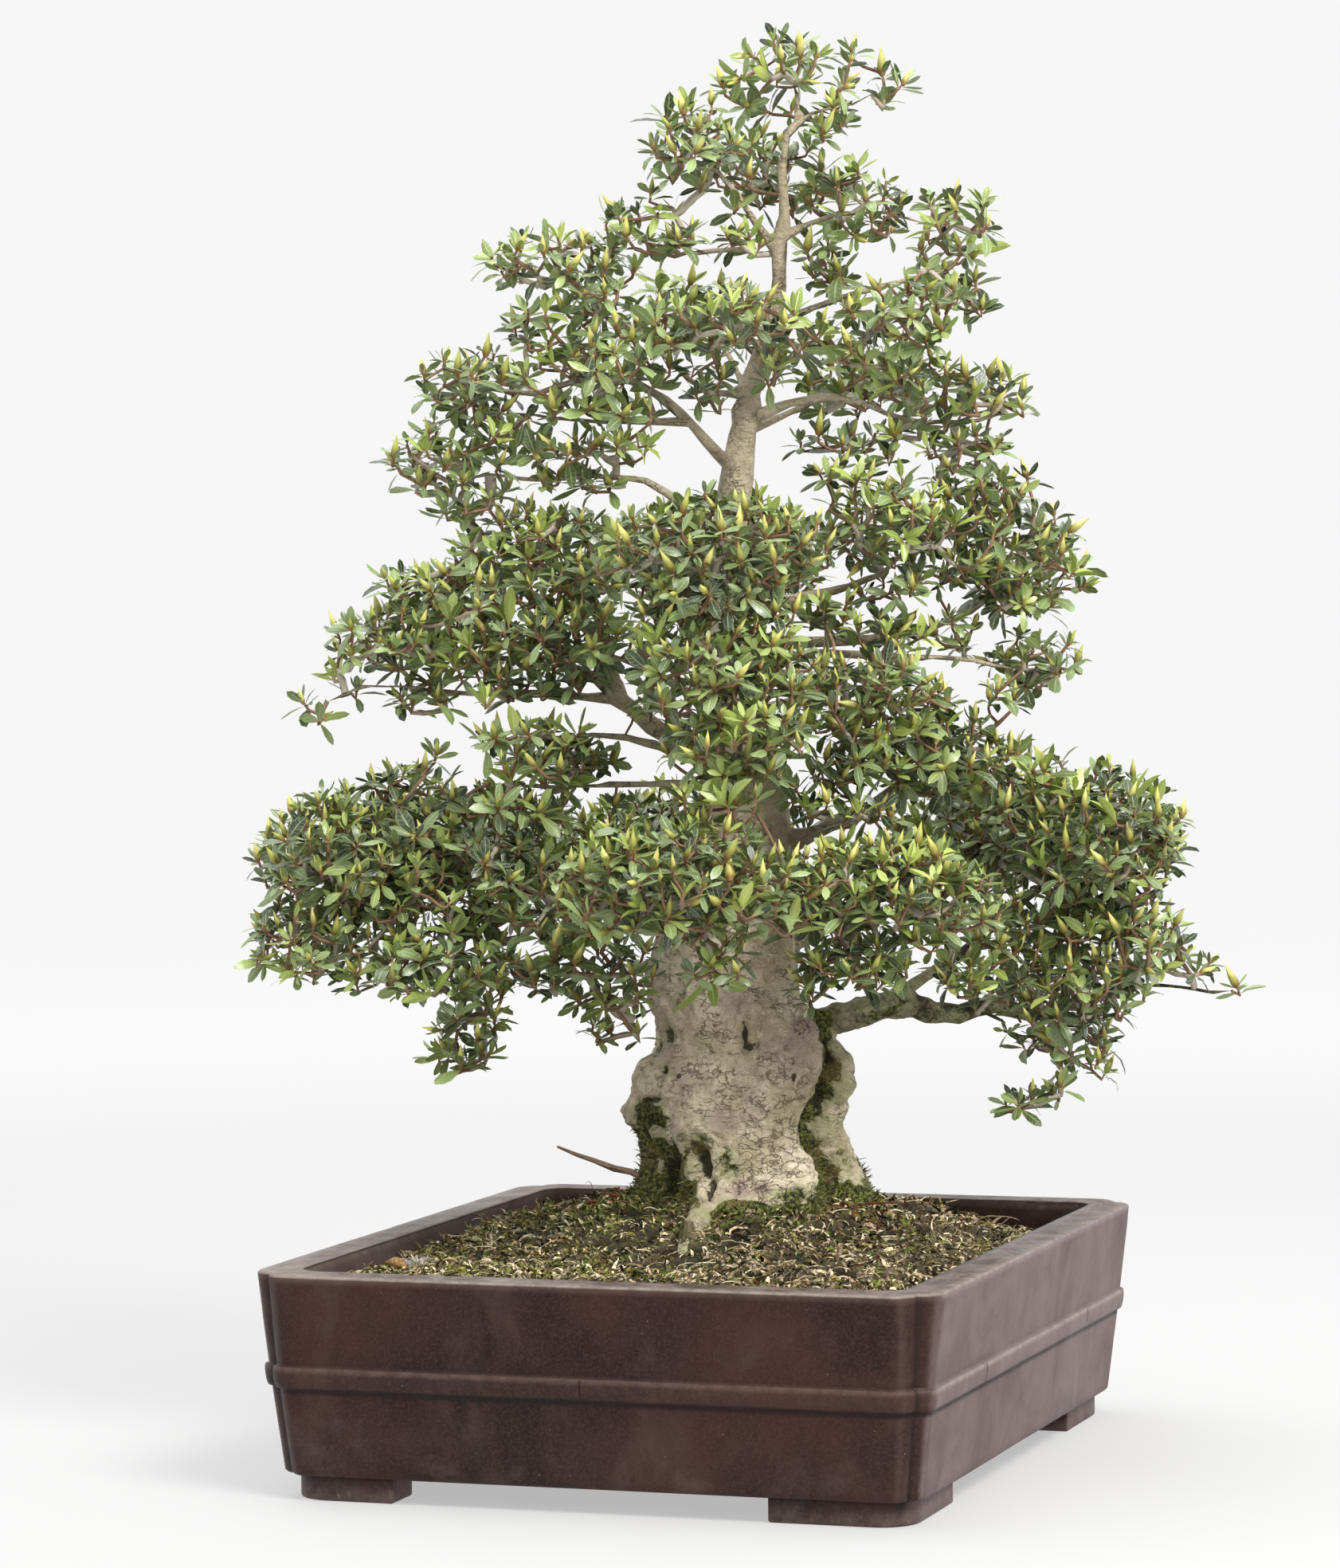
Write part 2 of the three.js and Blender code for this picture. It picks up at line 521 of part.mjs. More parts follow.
/** Each mass: its lumps as [x, y, z, half width, half depth, half height] in the tree frame. */
const FOLIAGE = {
  apex: [[52, 0, 809, 34, 32, 27]],
  apex_tuft: [[106, 5, 797, 19, 17, 20]],
  apex_left: [[-4, -14, 762, 40, 34, 35], [-23, -10, 727, 25, 24, 20]],
  apex_back: [[36, 46, 754, 32, 30, 34]],
  crown_right: [
    [96, -10, 728, 32, 32, 34], [147, 5, 712, 34, 34, 36], [124, -22, 674, 40, 32, 24],
    [72, 8, 735, 18, 24, 26],
  ],
  crown_front: [[20, -52, 660, 46, 34, 28]],
  crown_back: [[2, 76, 668, 60, 38, 34]],
  shoulder_left: [[-82, 0, 696, 52, 38, 31]],
  shoulder_left_inner: [[-50, -26, 640, 50, 38, 32]],
  shoulder_left_outer: [[-132, 5, 626, 46, 42, 34], [-158, 8, 594, 24, 28, 20]],
  shoulder_left_under: [[-64, -15, 589, 51, 34, 17]],
  shoulder_left_low: [[-152, 10, 571, 33, 30, 16]],
  shoulder_right: [[156, 0, 614, 50, 42, 27]],
  shoulder_right_inner: [[96, -20, 646, 42, 34, 22]],
  shoulder_right_back: [[96, 80, 628, 52, 40, 30]],
  middle_front: [[6, -92, 530, 76, 48, 42]],
  middle_front_low: [[6, -104, 470, 54, 44, 32]],
  middle_right: [[114, -20, 542, 58, 50, 36], [152, -2, 566, 30, 34, 22], [81, -30, 568, 30, 30, 17]],
  middle_right_outer: [[188, 0, 518, 44, 48, 44], [190, 10, 464, 36, 34, 24]],
  middle_right_low: [[93, -64, 450, 50, 40, 26], [107, -44, 480, 28, 30, 18]],
  middle_left: [[-90, 0, 531, 64, 50, 34], [-148, 5, 514, 31, 34, 20]],
  middle_left_low: [[-85, -34, 480, 58, 40, 28]],
  middle_left_outer: [[-170, 0, 480, 58, 48, 30]],
  middle_left_tip: [[-224, -10, 440, 17, 16, 15]],
  middle_back: [[8, 112, 524, 86, 56, 46]],
  lower_left: [[-100, -30, 410, 60, 46, 30]],
  lower_right: [[135, -10, 408, 64, 50, 34], [80, -48, 402, 34, 34, 26]],
  lower_front: [[18, -124, 421, 50, 46, 34]],
  low_left_outer: [
    [-213, 0, 351, 58, 66, 50], [-234, -10, 306, 42, 52, 38], [-180, 5, 392, 26, 28, 23],
  ],
  low_left_inner: [
    [-122, -18, 340, 58, 60, 44], [-152, -40, 290, 52, 44, 36], [-74, -44, 304, 38, 40, 36],
    [-140, -50, 264, 30, 30, 22],
  ],
  low_left_back: [[-157, 102, 354, 78, 58, 42]],
  low_front: [[-18, -142, 342, 80, 62, 46], [6, -128, 296, 26, 22, 22]],
  low_right_front: [[103, -92, 330, 68, 60, 46], [82, -90, 294, 42, 44, 24]],
  low_right_outer: [
    [228, 0, 356, 60, 70, 54], [238, 0, 298, 52, 56, 38], [172, -20, 304, 32, 38, 32],
  ],
  low_right_hanging: [[204, 10, 262, 46, 48, 44], [204, 2, 214, 17, 17, 23]],
  low_right_tip: [[306, 0, 268, 17, 15, 13]],
  low_right_back: [[174, 102, 356, 74, 62, 44]],
  low_back: [[-16, 150, 350, 92, 62, 44]],
  trunk_left: [[-58, -28, 252, 24, 20, 21]],
};

/** A lumpy ellipsoid, domed above and flatter below. */
function lump([x, y, z, halfWidth, halfDepth, halfHeight], grow = 0) {
  const geometry = new THREE.SphereGeometry(1, ...LUMP_GRID).rotateX(Math.PI / 2);
  const position = geometry.attributes.position;
  for (let i = 0; i < position.count; i += 1) {
    const [u, v, w] = [position.getX(i), position.getY(i), position.getZ(i)];
    const swell = 1 + 0.05 * Math.sin(5 * u + x) * Math.sin(4 * v + y + 2 * w);
    const rise = w < 0 ? 0.86 : 1;
    position.setXYZ(
      i,
      x + (halfWidth * swell + grow) * u,
      y + (halfDepth * swell + grow) * v,
      z + (halfHeight * swell * rise + grow) * w,
    );
  }
  return solid(geometry);
}

function mass(lumps, grow = 0) {
  return union(lumps.map((one) => lump(one, grow)));
}

/** Every mass, each cut clear of the wood and of the masses before it. */
function foliage(woodSpace) {
  const taken = [];
  return Object.entries(FOLIAGE).map(([name, lumps]) => {
    const body = taken.reduce((left, other) => left.subtract(other), mass(lumps));
    taken.push(mass(lumps, FINE_GAP));
    return [`foliage_${name}`, largest(body.subtract(woodSpace))];
  });
}

// ---------------------------------------------------------------- assembly

const looks = {
  clay: material(COLOUR.clay, 0.6),
  mesh: material(COLOUR.mesh, 0.7),
  wire: material(COLOUR.wire, 0.35, 1),
  soil: material(COLOUR.soil, 0.95),
  moss: material(COLOUR.moss, 0.95),
  bark: material(COLOUR.bark, 0.85),
  leaf: material(COLOUR.leaf, 0.6),
};

const woodSpace = wood(FINE_GAP);
const inGround = woodSpace.rotate([0, 0, THREE.MathUtils.radToDeg(TREE_TURN)]);

const plant = new THREE.Group();
plant.add(piece('pot', pot(), looks.clay));
for (const [side, sign] of [['front', -1], ['back', 1]]) {
  plant.add(piece(`drain_screen_${side}`, drainScreen(sign), looks.mesh));
  plant.add(piece(`screen_clip_${side}`, screenClip(sign), looks.wire));
}
const earth = soil().subtract(inGround).subtract(screenSpace());
plant.add(piece('soil', largest(earth), looks.soil));
plant.add(piece('moss', largest(moss().subtract(inGround)), looks.moss));

const tree = new THREE.Group();
tree.rotation.z = TREE_TURN;
tree.add(piece('trunk_and_branches', wood(), looks.bark));
for (const [name, body] of foliage(woodSpace)) {
  tree.add(piece(name, body, looks.leaf));
}
plant.add(tree);

plant.updateMatrixWorld(true);
const bounds = new THREE.Box3().setFromObject(plant, true);
const middle = bounds.getCenter(new THREE.Vector3());
plant.position.set(-middle.x, -middle.y, 0);

export default plant;
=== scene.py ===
"""Looks of a satsuki azalea bonsai in its clay pot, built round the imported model.

Everything is in metres in the model's own frame. Each mass of leaves in the frame gives the space
that its rosettes of leaves fill, the wood of the frame gives the trunk and limbs their shape, and
fine twigs grow from the wood to every rosette. Places given in millimetres are in the tree's frame:
x to the right of its front, y away from its front, z up, turned about the pot's upright axis.
"""

import itertools
import json
import math

import bmesh
import bpy
import numpy as np
from mathutils import Matrix, Vector
from mathutils.bvhtree import BVHTree
from mathutils.kdtree import KDTree

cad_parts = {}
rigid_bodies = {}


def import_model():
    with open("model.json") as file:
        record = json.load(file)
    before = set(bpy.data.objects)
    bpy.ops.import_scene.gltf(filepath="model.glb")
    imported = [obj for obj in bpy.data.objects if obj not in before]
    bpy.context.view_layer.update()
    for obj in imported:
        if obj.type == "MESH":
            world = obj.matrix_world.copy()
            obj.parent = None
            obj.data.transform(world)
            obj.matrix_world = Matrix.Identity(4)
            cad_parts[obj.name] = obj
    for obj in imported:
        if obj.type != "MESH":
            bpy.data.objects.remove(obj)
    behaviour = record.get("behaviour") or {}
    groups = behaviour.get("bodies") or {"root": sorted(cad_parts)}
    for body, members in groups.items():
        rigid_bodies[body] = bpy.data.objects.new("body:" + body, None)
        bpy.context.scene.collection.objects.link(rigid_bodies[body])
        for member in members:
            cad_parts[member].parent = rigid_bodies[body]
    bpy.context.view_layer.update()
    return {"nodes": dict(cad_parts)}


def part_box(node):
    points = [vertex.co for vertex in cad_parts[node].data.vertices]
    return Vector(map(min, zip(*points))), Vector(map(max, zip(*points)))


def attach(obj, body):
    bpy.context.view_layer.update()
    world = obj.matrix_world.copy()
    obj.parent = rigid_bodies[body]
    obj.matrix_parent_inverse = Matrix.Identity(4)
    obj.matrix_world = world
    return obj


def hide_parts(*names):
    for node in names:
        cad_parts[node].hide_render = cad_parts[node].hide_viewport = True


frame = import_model()

MM = 0.001
TREE_TURN = math.radians(18.9)
UP = np.array([0.0, 0.0, 1.0])
GOLDEN_ANGLE = math.radians(137.5)

POT_LOW, POT_HIGH = (np.array(corner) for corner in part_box("pot"))
POT_MIDDLE = (POT_LOW + POT_HIGH) / 2
POT_HALF = ((POT_HIGH - POT_LOW) / 2)[:2]

# ------------------------------------------------------------------ small tools


def tree_point(points):
    """Points in the tree's frame, in mm, as points in the row's frame."""
    p = np.atleast_2d(points) * MM
    c, s = math.cos(TREE_TURN), math.sin(TREE_TURN)
    x = p[:, 0] * c - p[:, 1] * s + POT_MIDDLE[0]
    y = p[:, 0] * s + p[:, 1] * c + POT_MIDDLE[1]
    return np.stack([x, y, p[:, 2]], 1)


def in_tree_frame(points):
    """Points in the row's frame as points in the tree's frame, in mm."""
    c, s = math.cos(TREE_TURN), math.sin(TREE_TURN)
    x, y = points[:, 0] - POT_MIDDLE[0], points[:, 1] - POT_MIDDLE[1]
    return np.stack([x * c + y * s, y * c - x * s, points[:, 2]], 1) / MM


def unit(v):
    """Vectors of length 1 along these."""
    return v / np.maximum(np.linalg.norm(v, axis=-1, keepdims=True), 1e-12)


def lerp(a, b, t):
    """From a where t is 0 to b where it is 1."""
    return a + (b - a) * t


def smoothstep(low, high, x):
    """From 0 at low to 1 at high, with soft ends. High may be the smaller one."""
    t = np.clip((x - low) / (high - low), 0, 1)
    return t * t * (3 - 2 * t)


def lattice(cell, seed):
    """A number from -1 to 1 for each whole-numbered cell, the same each run."""
    n = cell[..., 0] * 73856093 ^ cell[..., 1] * 19349663 ^ cell[..., 2] * 83492791 ^ (seed * 2654435761)
    n = (n ^ (n >> 13)) & 0x7FFFFFFF
    n = (n * (n * n * 15731 + 789221) + 1376312589) & 0x7FFFFFFF
    return n / 0x3FFFFFFF - 1.0


def noise(points, size, seed=0):
    """Smooth noise from -1 to 1 with features of about a size in metres, or a size for each axis."""
    p = points / np.asarray(size)
    low = np.floor(p).astype(np.int64)
    f = p - low
    f = f * f * (3 - 2 * f)
    total = np.zeros(len(points))
    for corner in range(8):
        step = np.array([corner & 1, corner >> 1 & 1, corner >> 2 & 1])
        weight = np.where(step, f, 1 - f).prod(1)
        total += weight * lattice(low + step, seed)
    return total


def fractal(points, size, octaves=3, seed=0):
    """Noise in octaves, each half as large and half as high as the one before."""
    size = np.asarray(size, float)
    return sum(noise(points, size / 2**i, seed + i) / 2**i for i in range(octaves))


def lumps(points, terms):
    """Sum of fractal noises, each with its height, size, octaves and seed."""
    return sum(height * fractal(points, size, octaves, seed) for height, size, octaves, seed in terms)


def heading(bearing, rise):
    """Unit vectors that point along a bearing and climb at an angle."""
    return np.stack([np.cos(bearing) * np.cos(rise), np.sin(bearing) * np.cos(rise), np.sin(rise)], -1)


def ring_quads(sides, rings):
    """Faces between rings of vertices that follow one another."""
    k = np.arange(sides)
    after = (k + 1) % sides
    band = np.stack([k, after, sides + after, sides + k], 1)
    return np.concatenate([i * sides + band for i in range(rings - 1)])


def box_of(node):
    """Lowest and highest corner of a CAD node."""
    return tuple(np.array(corner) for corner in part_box(node))


def linked(name, data):
    """A new object of this data, linked to the scene."""
    thing = bpy.data.objects.new(name, data)
    bpy.context.scene.collection.objects.link(thing)
    return thing


def mesh_object(name, points, quads=None, triangles=None):
    """A smooth-shaded object of a mesh with these faces."""
    quads = np.zeros((0, 4), int) if quads is None else np.asarray(quads)
    triangles = np.zeros((0, 3), int) if triangles is None else np.asarray(triangles)
    mesh = bpy.data.meshes.new(name)
    mesh.vertices.add(len(points))
    mesh.vertices.foreach_set("co", np.asarray(points, np.float32).ravel())
    mesh.loops.add(quads.size + triangles.size)
    corners = np.concatenate([quads.ravel(), triangles.ravel()]).astype(np.int32)
    mesh.loops.foreach_set("vertex_index", corners)
    mesh.polygons.add(len(quads) + len(triangles))
    starts = np.concatenate([
        np.arange(len(quads)) * 4, quads.size + np.arange(len(triangles)) * 3])
    mesh.polygons.foreach_set("loop_start", starts.astype(np.int32))
    mesh.polygons.foreach_set("use_smooth", np.full(len(starts), True))
    mesh.update(calc_edges=True)
    mesh.validate()
    return linked(name, mesh)


def store(thing, name, values):
    """A named number or colour for each vertex, which a material reads."""
    values = np.squeeze(values)
    kind = "FLOAT" if values.ndim == 1 else "FLOAT_VECTOR"
    attribute = thing.data.attributes.new(name, kind, "POINT")
    key = "value" if values.ndim == 1 else "vector"
    attribute.data.foreach_set(key, np.asarray(values, np.float32).ravel())


def values_of(rows, key, width, kind=np.float32):
    """A table of the values that rows of Blender's data hold."""
    found = np.empty(len(rows) * width, kind)
    rows.foreach_get(key, found)
    return found.reshape(-1, width)


def coordinates(mesh):
    """The places of a mesh's vertices."""
    return values_of(mesh.vertices, "co", 3).astype(float)


def vertex_normals(mesh):
    """The directions in which a mesh's vertices face."""
    return values_of(mesh.vertex_normals, "vector", 3).astype(float)


def edge_ends(mesh):
    """The first and the second vertex of each edge."""
    return values_of(mesh.edges, "vertices", 2, np.int32).T


def moved(mesh, points):
    """Puts a mesh's vertices at new places."""
    mesh.vertices.foreach_set("co", points.astype(np.float32).ravel())
    mesh.update()


def tree_of(thing):
    """Finds the nearest point of an object's mesh, or where a ray meets it."""
    mesh = thing.data
    return BVHTree.FromPolygons([v.co for v in mesh.vertices], [p.vertices for p in mesh.polygons])


def applied(thing):
    """The object with its modifiers applied."""
    graph = bpy.context.evaluated_depsgraph_get()
    mesh = bpy.data.meshes.new_from_object(thing.evaluated_get(graph))
    thing.modifiers.clear()
    thing.data = mesh
    return thing


def dress(thing, slot, *materials):
    """Gives a piece its materials and its body. The slot is not used."""
    if len(thing.data.materials):
        thing.data.materials.clear()
    for material in materials:
        thing.data.materials.append(material)
    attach(thing, "root")
    return thing


TUBE_SEAM = (0.31, 0.17, 0.93)         # no tube runs along it, so it gives each a first side


class Tubes:
    """Many thin tubes gathered into one mesh, each with a value for its vertices."""

    def __init__(self):
        self.points, self.quads, self.values, self.count = [], [], [], 0

    def add(self, path, radii, sides, values):
        path = np.asarray(path, float)
        along = unit(np.gradient(path, axis=0))
        side = np.cross(along[0], TUBE_SEAM)
        turn = 2 * math.pi * np.arange(sides) / sides
        for i, (centre, way) in enumerate(zip(path, along)):
            side = unit(side - way * (side @ way))
            other = np.cross(way, side)
            ring = np.outer(np.cos(turn), side) + np.outer(np.sin(turn), other)
            self.points.append(centre + ring * radii[i])
            self.values.append(np.repeat(np.atleast_2d(values[i]), sides, 0))
        self.quads.append(self.count + ring_quads(sides, len(path)))
        self.count += len(path) * sides

    def made(self, name, attribute):
        thing = mesh_object(name, np.concatenate(self.points), np.concatenate(self.quads))
        store(thing, attribute, np.concatenate(self.values))
        return thing


# ------------------------------------------------------------------ materials

class Nodes:
    """A short way to write a material's nodes. Sockets are passed as values."""

    def __init__(self, name):
        self.material = bpy.data.materials.new(name)
        self.material.use_nodes = True
        self.tree = self.material.node_tree
        self.shader = self.tree.nodes["Principled BSDF"]

    def node(self, kind, inputs=(), **settings):
        made = self.tree.nodes.new(kind)
        for key, value in settings.items():
            setattr(made, key, value)
        for key, value in dict(inputs).items():
            self.give(made.inputs[key], value)
        return made

    def give(self, socket, value):
        if isinstance(value, bpy.types.NodeSocket):
            self.tree.links.new(value, socket)
        elif isinstance(value, (tuple, list)) and len(value) == 3 and socket.type == "RGBA":
            socket.default_value = (*value, 1.0)
        else:
            socket.default_value = value

    def attribute(self, name, output="Fac"):
        return self.node("ShaderNodeAttribute", attribute_name=name).outputs[output]

    def place(self, scale=(1, 1, 1)):
        """Object coordinates in metres, stretched."""
        coordinate = self.node("ShaderNodeTexCoord").outputs["Object"]
        return self.node("ShaderNodeMapping", {"Vector": coordinate, "Scale": scale}).outputs[0]

    def noise(self, scale, detail=4.0, roughness=0.55, stretch=(1, 1, 1), distortion=0.0):
        """Noise from 0 to 1; scale is features per metre."""
        made = self.node("ShaderNodeTexNoise", {
            "Vector": self.place(stretch), "Scale": scale, "Detail": detail,
            "Roughness": roughness, "Distortion": distortion})
        return made.outputs["Fac"]

    def cells(self, scale):
        """Distance from the middles of random cells."""
        made = self.node("ShaderNodeTexVoronoi", {"Vector": self.place((1, 1, 1)), "Scale": scale})
        return made.outputs["Distance"]

    def warped_cells(self, scale, sway, stretch):
        """Distance to the edges between cells whose outlines wander by a share of their size."""
        wander = self.node("ShaderNodeTexNoise", {
            "Vector": self.place(), "Scale": scale * 0.8, "Detail": 3.0})
        moved = self.node("ShaderNodeVectorMath", operation="MULTIPLY_ADD")
        self.give(moved.inputs[0], wander.outputs["Color"])
        self.give(moved.inputs[1], (sway / scale,) * 3)
        self.give(moved.inputs[2], self.place(stretch))
        sockets = {"Vector": moved.outputs[0], "Scale": scale}
        return self.node("ShaderNodeTexVoronoi", sockets, feature="DISTANCE_TO_EDGE").outputs["Distance"]

    def ranged(self, value, low, high, to_low=0.0, to_high=1.0):
        """Smoothly from to_low, where the value is low, to to_high, where it is high."""
        return self.node("ShaderNodeMapRange", {
            "Value": value, "From Min": low, "From Max": high,
            "To Min": to_low, "To Max": to_high}, interpolation_type="SMOOTHSTEP").outputs[0]

    def maths(self, operation, a, b=0.0, c=0.0):
        made = self.node("ShaderNodeMath", operation=operation)
        for socket, value in zip(made.inputs, (a, b, c)):
            self.give(socket, value)
        return made.outputs[0]

    def times(self, a, b):
        return self.maths("MULTIPLY", a, b)

    def size(self, a):
        return self.maths("ABSOLUTE", a)

    def split(self, vector):
        return self.node("ShaderNodeSeparateXYZ", {"Vector": vector}).outputs

    def mix(self, factor, a, b):
        made = self.node("ShaderNodeMix", data_type="RGBA")
        self.give(made.inputs["Factor"], factor)
        self.give(made.inputs[6], a)
        self.give(made.inputs[7], b)
        return made.outputs[2]

    def layer(self, base, colour, value, low, high, to_low=0.0, to_high=1.0):
        """A colour over a base as much as a value says."""
        return self.mix(self.ranged(value, low, high, to_low, to_high), base, colour)

    def bump(self, height, strength, distance):
        return self.node("ShaderNodeBump", {
            "Height": height, "Strength": strength, "Distance": distance}).outputs[0]

    def finish(self, colour, roughness, normal=None, **sockets):
        self.give(self.shader.inputs["Base Color"], colour)
        self.give(self.shader.inputs["Roughness"], roughness)
        if normal is not None:
            self.give(self.shader.inputs["Normal"], normal)
        for key, value in sockets.items():
            self.shader.inputs[key.replace("_", " ")].default_value = value
        return self.material


DARK_GREEN, LEAF_GREEN, PALE_GREEN = (0.007, 0.021, 0.007), (0.262, 0.362, 0.122), (0.64, 0.72, 0.42)
DEEP_LIME, LIME, PALE_LIME = (0.26, 0.36, 0.05), (0.48, 0.57, 0.12), (0.74, 0.78, 0.36)
LEAF_MOTTLE, LEAF_STALK = (0.25, 0.31, 0.12), (0.42, 0.30, 0.10)
VEINS, VEIN_SLANT = 46.0, -7.0         # radians of the veins' wave along a leaf and across half of it


def leaf_material():
    """Reads `leaf`: across the leaf (-1 to 1), along it (0 to 1) and its shade (0 to 1), and `fresh`,
    which is 1 on a young lime leaf."""
    n = Nodes("azalea_leaf")
    across, along, shade = n.split(n.attribute("leaf", "Vector"))
    fresh = n.attribute("fresh")
    mottle = n.noise(420, 3)
    side = n.size(across)
    vein = n.maths("SINE", n.maths("MULTIPLY_ADD", side, VEIN_SLANT, n.times(along, VEINS)))
    vein = n.times(n.ranged(vein, 0.72, 1.0), 0.35)
    rib = n.times(n.ranged(side, 0.16, 0.02), n.ranged(along, 1.0, 0.55, 0.35, 1.0))
    line = n.maths("MAXIMUM", rib, vein)
    # At the margin the pale green is partly the leaf's own hairy edge and partly a painted sheen; rib
    # and veins are the leaf's own paler lines
    edge = n.ranged(side, 0.80, 1.0, 0.0, 0.8)
    dull = n.mix(shade, DARK_GREEN, LEAF_GREEN)
    dull = n.layer(dull, LEAF_MOTTLE, mottle, 0.38, 0.78, 0.0, 0.28)
    dull = n.mix(n.times(n.maths("MAXIMUM", line, edge), 0.45), dull, PALE_GREEN)
    dull = n.layer(dull, LEAF_STALK, along, 0.30, 0.0, 0.0, 0.8)
    young = n.mix(shade, DEEP_LIME, LIME)
    young = n.mix(n.times(line, 0.6), young, PALE_LIME)
    colour = n.mix(fresh, dull, young)
    rough = n.ranged(mottle, 0.3, 0.75, 0.28, 0.43)
    height = n.maths("MULTIPLY_ADD", line, -0.8, n.times(mottle, 0.5))
    return n.finish(colour, rough, n.bump(height, 0.5, 0.0004), Specular_IOR_Level=0.85)


BUD_TIPS = (0.40, 0.42, 0.085), (0.74, 0.69, 0.21)
BUD_MIDDLES = (0.25, 0.24, 0.045), (0.48, 0.44, 0.11)
BUD_BASE, BUD_SCALE = (0.25, 0.125, 0.040), (0.2, 0.22, 0.03)


def bud_material():
    """Reads `leaf` as a leaf does: along the bud runs from its scaly base to its pointed tip."""
    n = Nodes("azalea_bud")
    _, along, shade = n.split(n.attribute("leaf", "Vector"))
    scales = n.noise(700, 2, stretch=(1, 1, 0.3))
    tip, middle = n.mix(shade, *BUD_TIPS), n.mix(shade, *BUD_MIDDLES)
    colour = n.layer(middle, tip, along, 0.30, 0.70)
    colour = n.layer(colour, BUD_BASE, along, 0.36, 0.08)
    colour = n.layer(colour, BUD_SCALE, scales, 0.5, 0.75, 0.0, 0.35)
    return n.finish(colour, n.ranged(scales, 0.3, 0.7, 0.36, 0.55), n.bump(scales, 0.4, 0.0003))


# Dark and light colour of a twig's grain, on a young shoot, in between and on old bark
TWIG_COLOURS = (
    ((0.10, 0.045, 0.025), (0.38, 0.215, 0.12)), ((0.17, 0.115, 0.075), (0.56, 0.44, 0.33)),
    ((0.27, 0.22, 0.16), (0.74, 0.67, 0.55)))


def twig_material():
    """Reads `age`, from 0 on a young red-brown shoot to 1 on old pale bark."""
    n = Nodes("azalea_twig")
    age = n.attribute("age")
    grain = n.noise(330, 4, stretch=(1, 1, 0.45))
    young, middle, old = (n.mix(grain, *pair) for pair in TWIG_COLOURS)
    colour = n.layer(young, middle, age, 0.0, 0.45)
    colour = n.layer(colour, old, age, 0.35, 0.9)
    return n.finish(colour, n.ranged(grain, 0.3, 0.7, 0.55, 0.85), n.bump(grain, 0.6, 0.0008))


BARK_SHADE, BARK_LIGHT, FLAKE_AND_HIGHLIGHT = (0.52, 0.42, 0.275), (0.87, 0.755, 0.56), (0.90, 0.83, 0.67)
LIMB_DARK, TRUNK_DARK, FURROW = (0.17, 0.13, 0.09), (0.27, 0.21, 0.135), (0.29, 0.205, 0.115)
ROSY, ALGAE = (0.47, 0.36, 0.30), (0.42, 0.41, 0.20)
CRACK, SPECK = (0.17, 0.115, 0.062), (0.10, 0.07, 0.04)
PURPLE, PURPLE_SPOT = (0.46, 0.33, 0.28), (0.11, 0.065, 0.075)
LIMB_GREY, LIMB_BROWN = (0.30, 0.24, 0.165), (0.125, 0.085, 0.052)
MOSS_DARK, MOSS_LIGHT, MOSS_BROWN = (0.018, 0.020, 0.005), (0.27, 0.285, 0.06), (0.20, 0.14, 0.05)
MOSS_FILM, SHADE_AND_DARK_LIMBS = (0.40, 0.43, 0.21), (0.030, 0.022, 0.011)
BROWN_BELOW, BROWN_ABOVE = (0.38, 0.33), (0.18, 0.21)     # heights of the low limbs, which are browner
CRACK_CELLS, CRACK_SWAY, CRACK_STRETCH = 150, 2.6, (0.62, 0.62, 1.35)


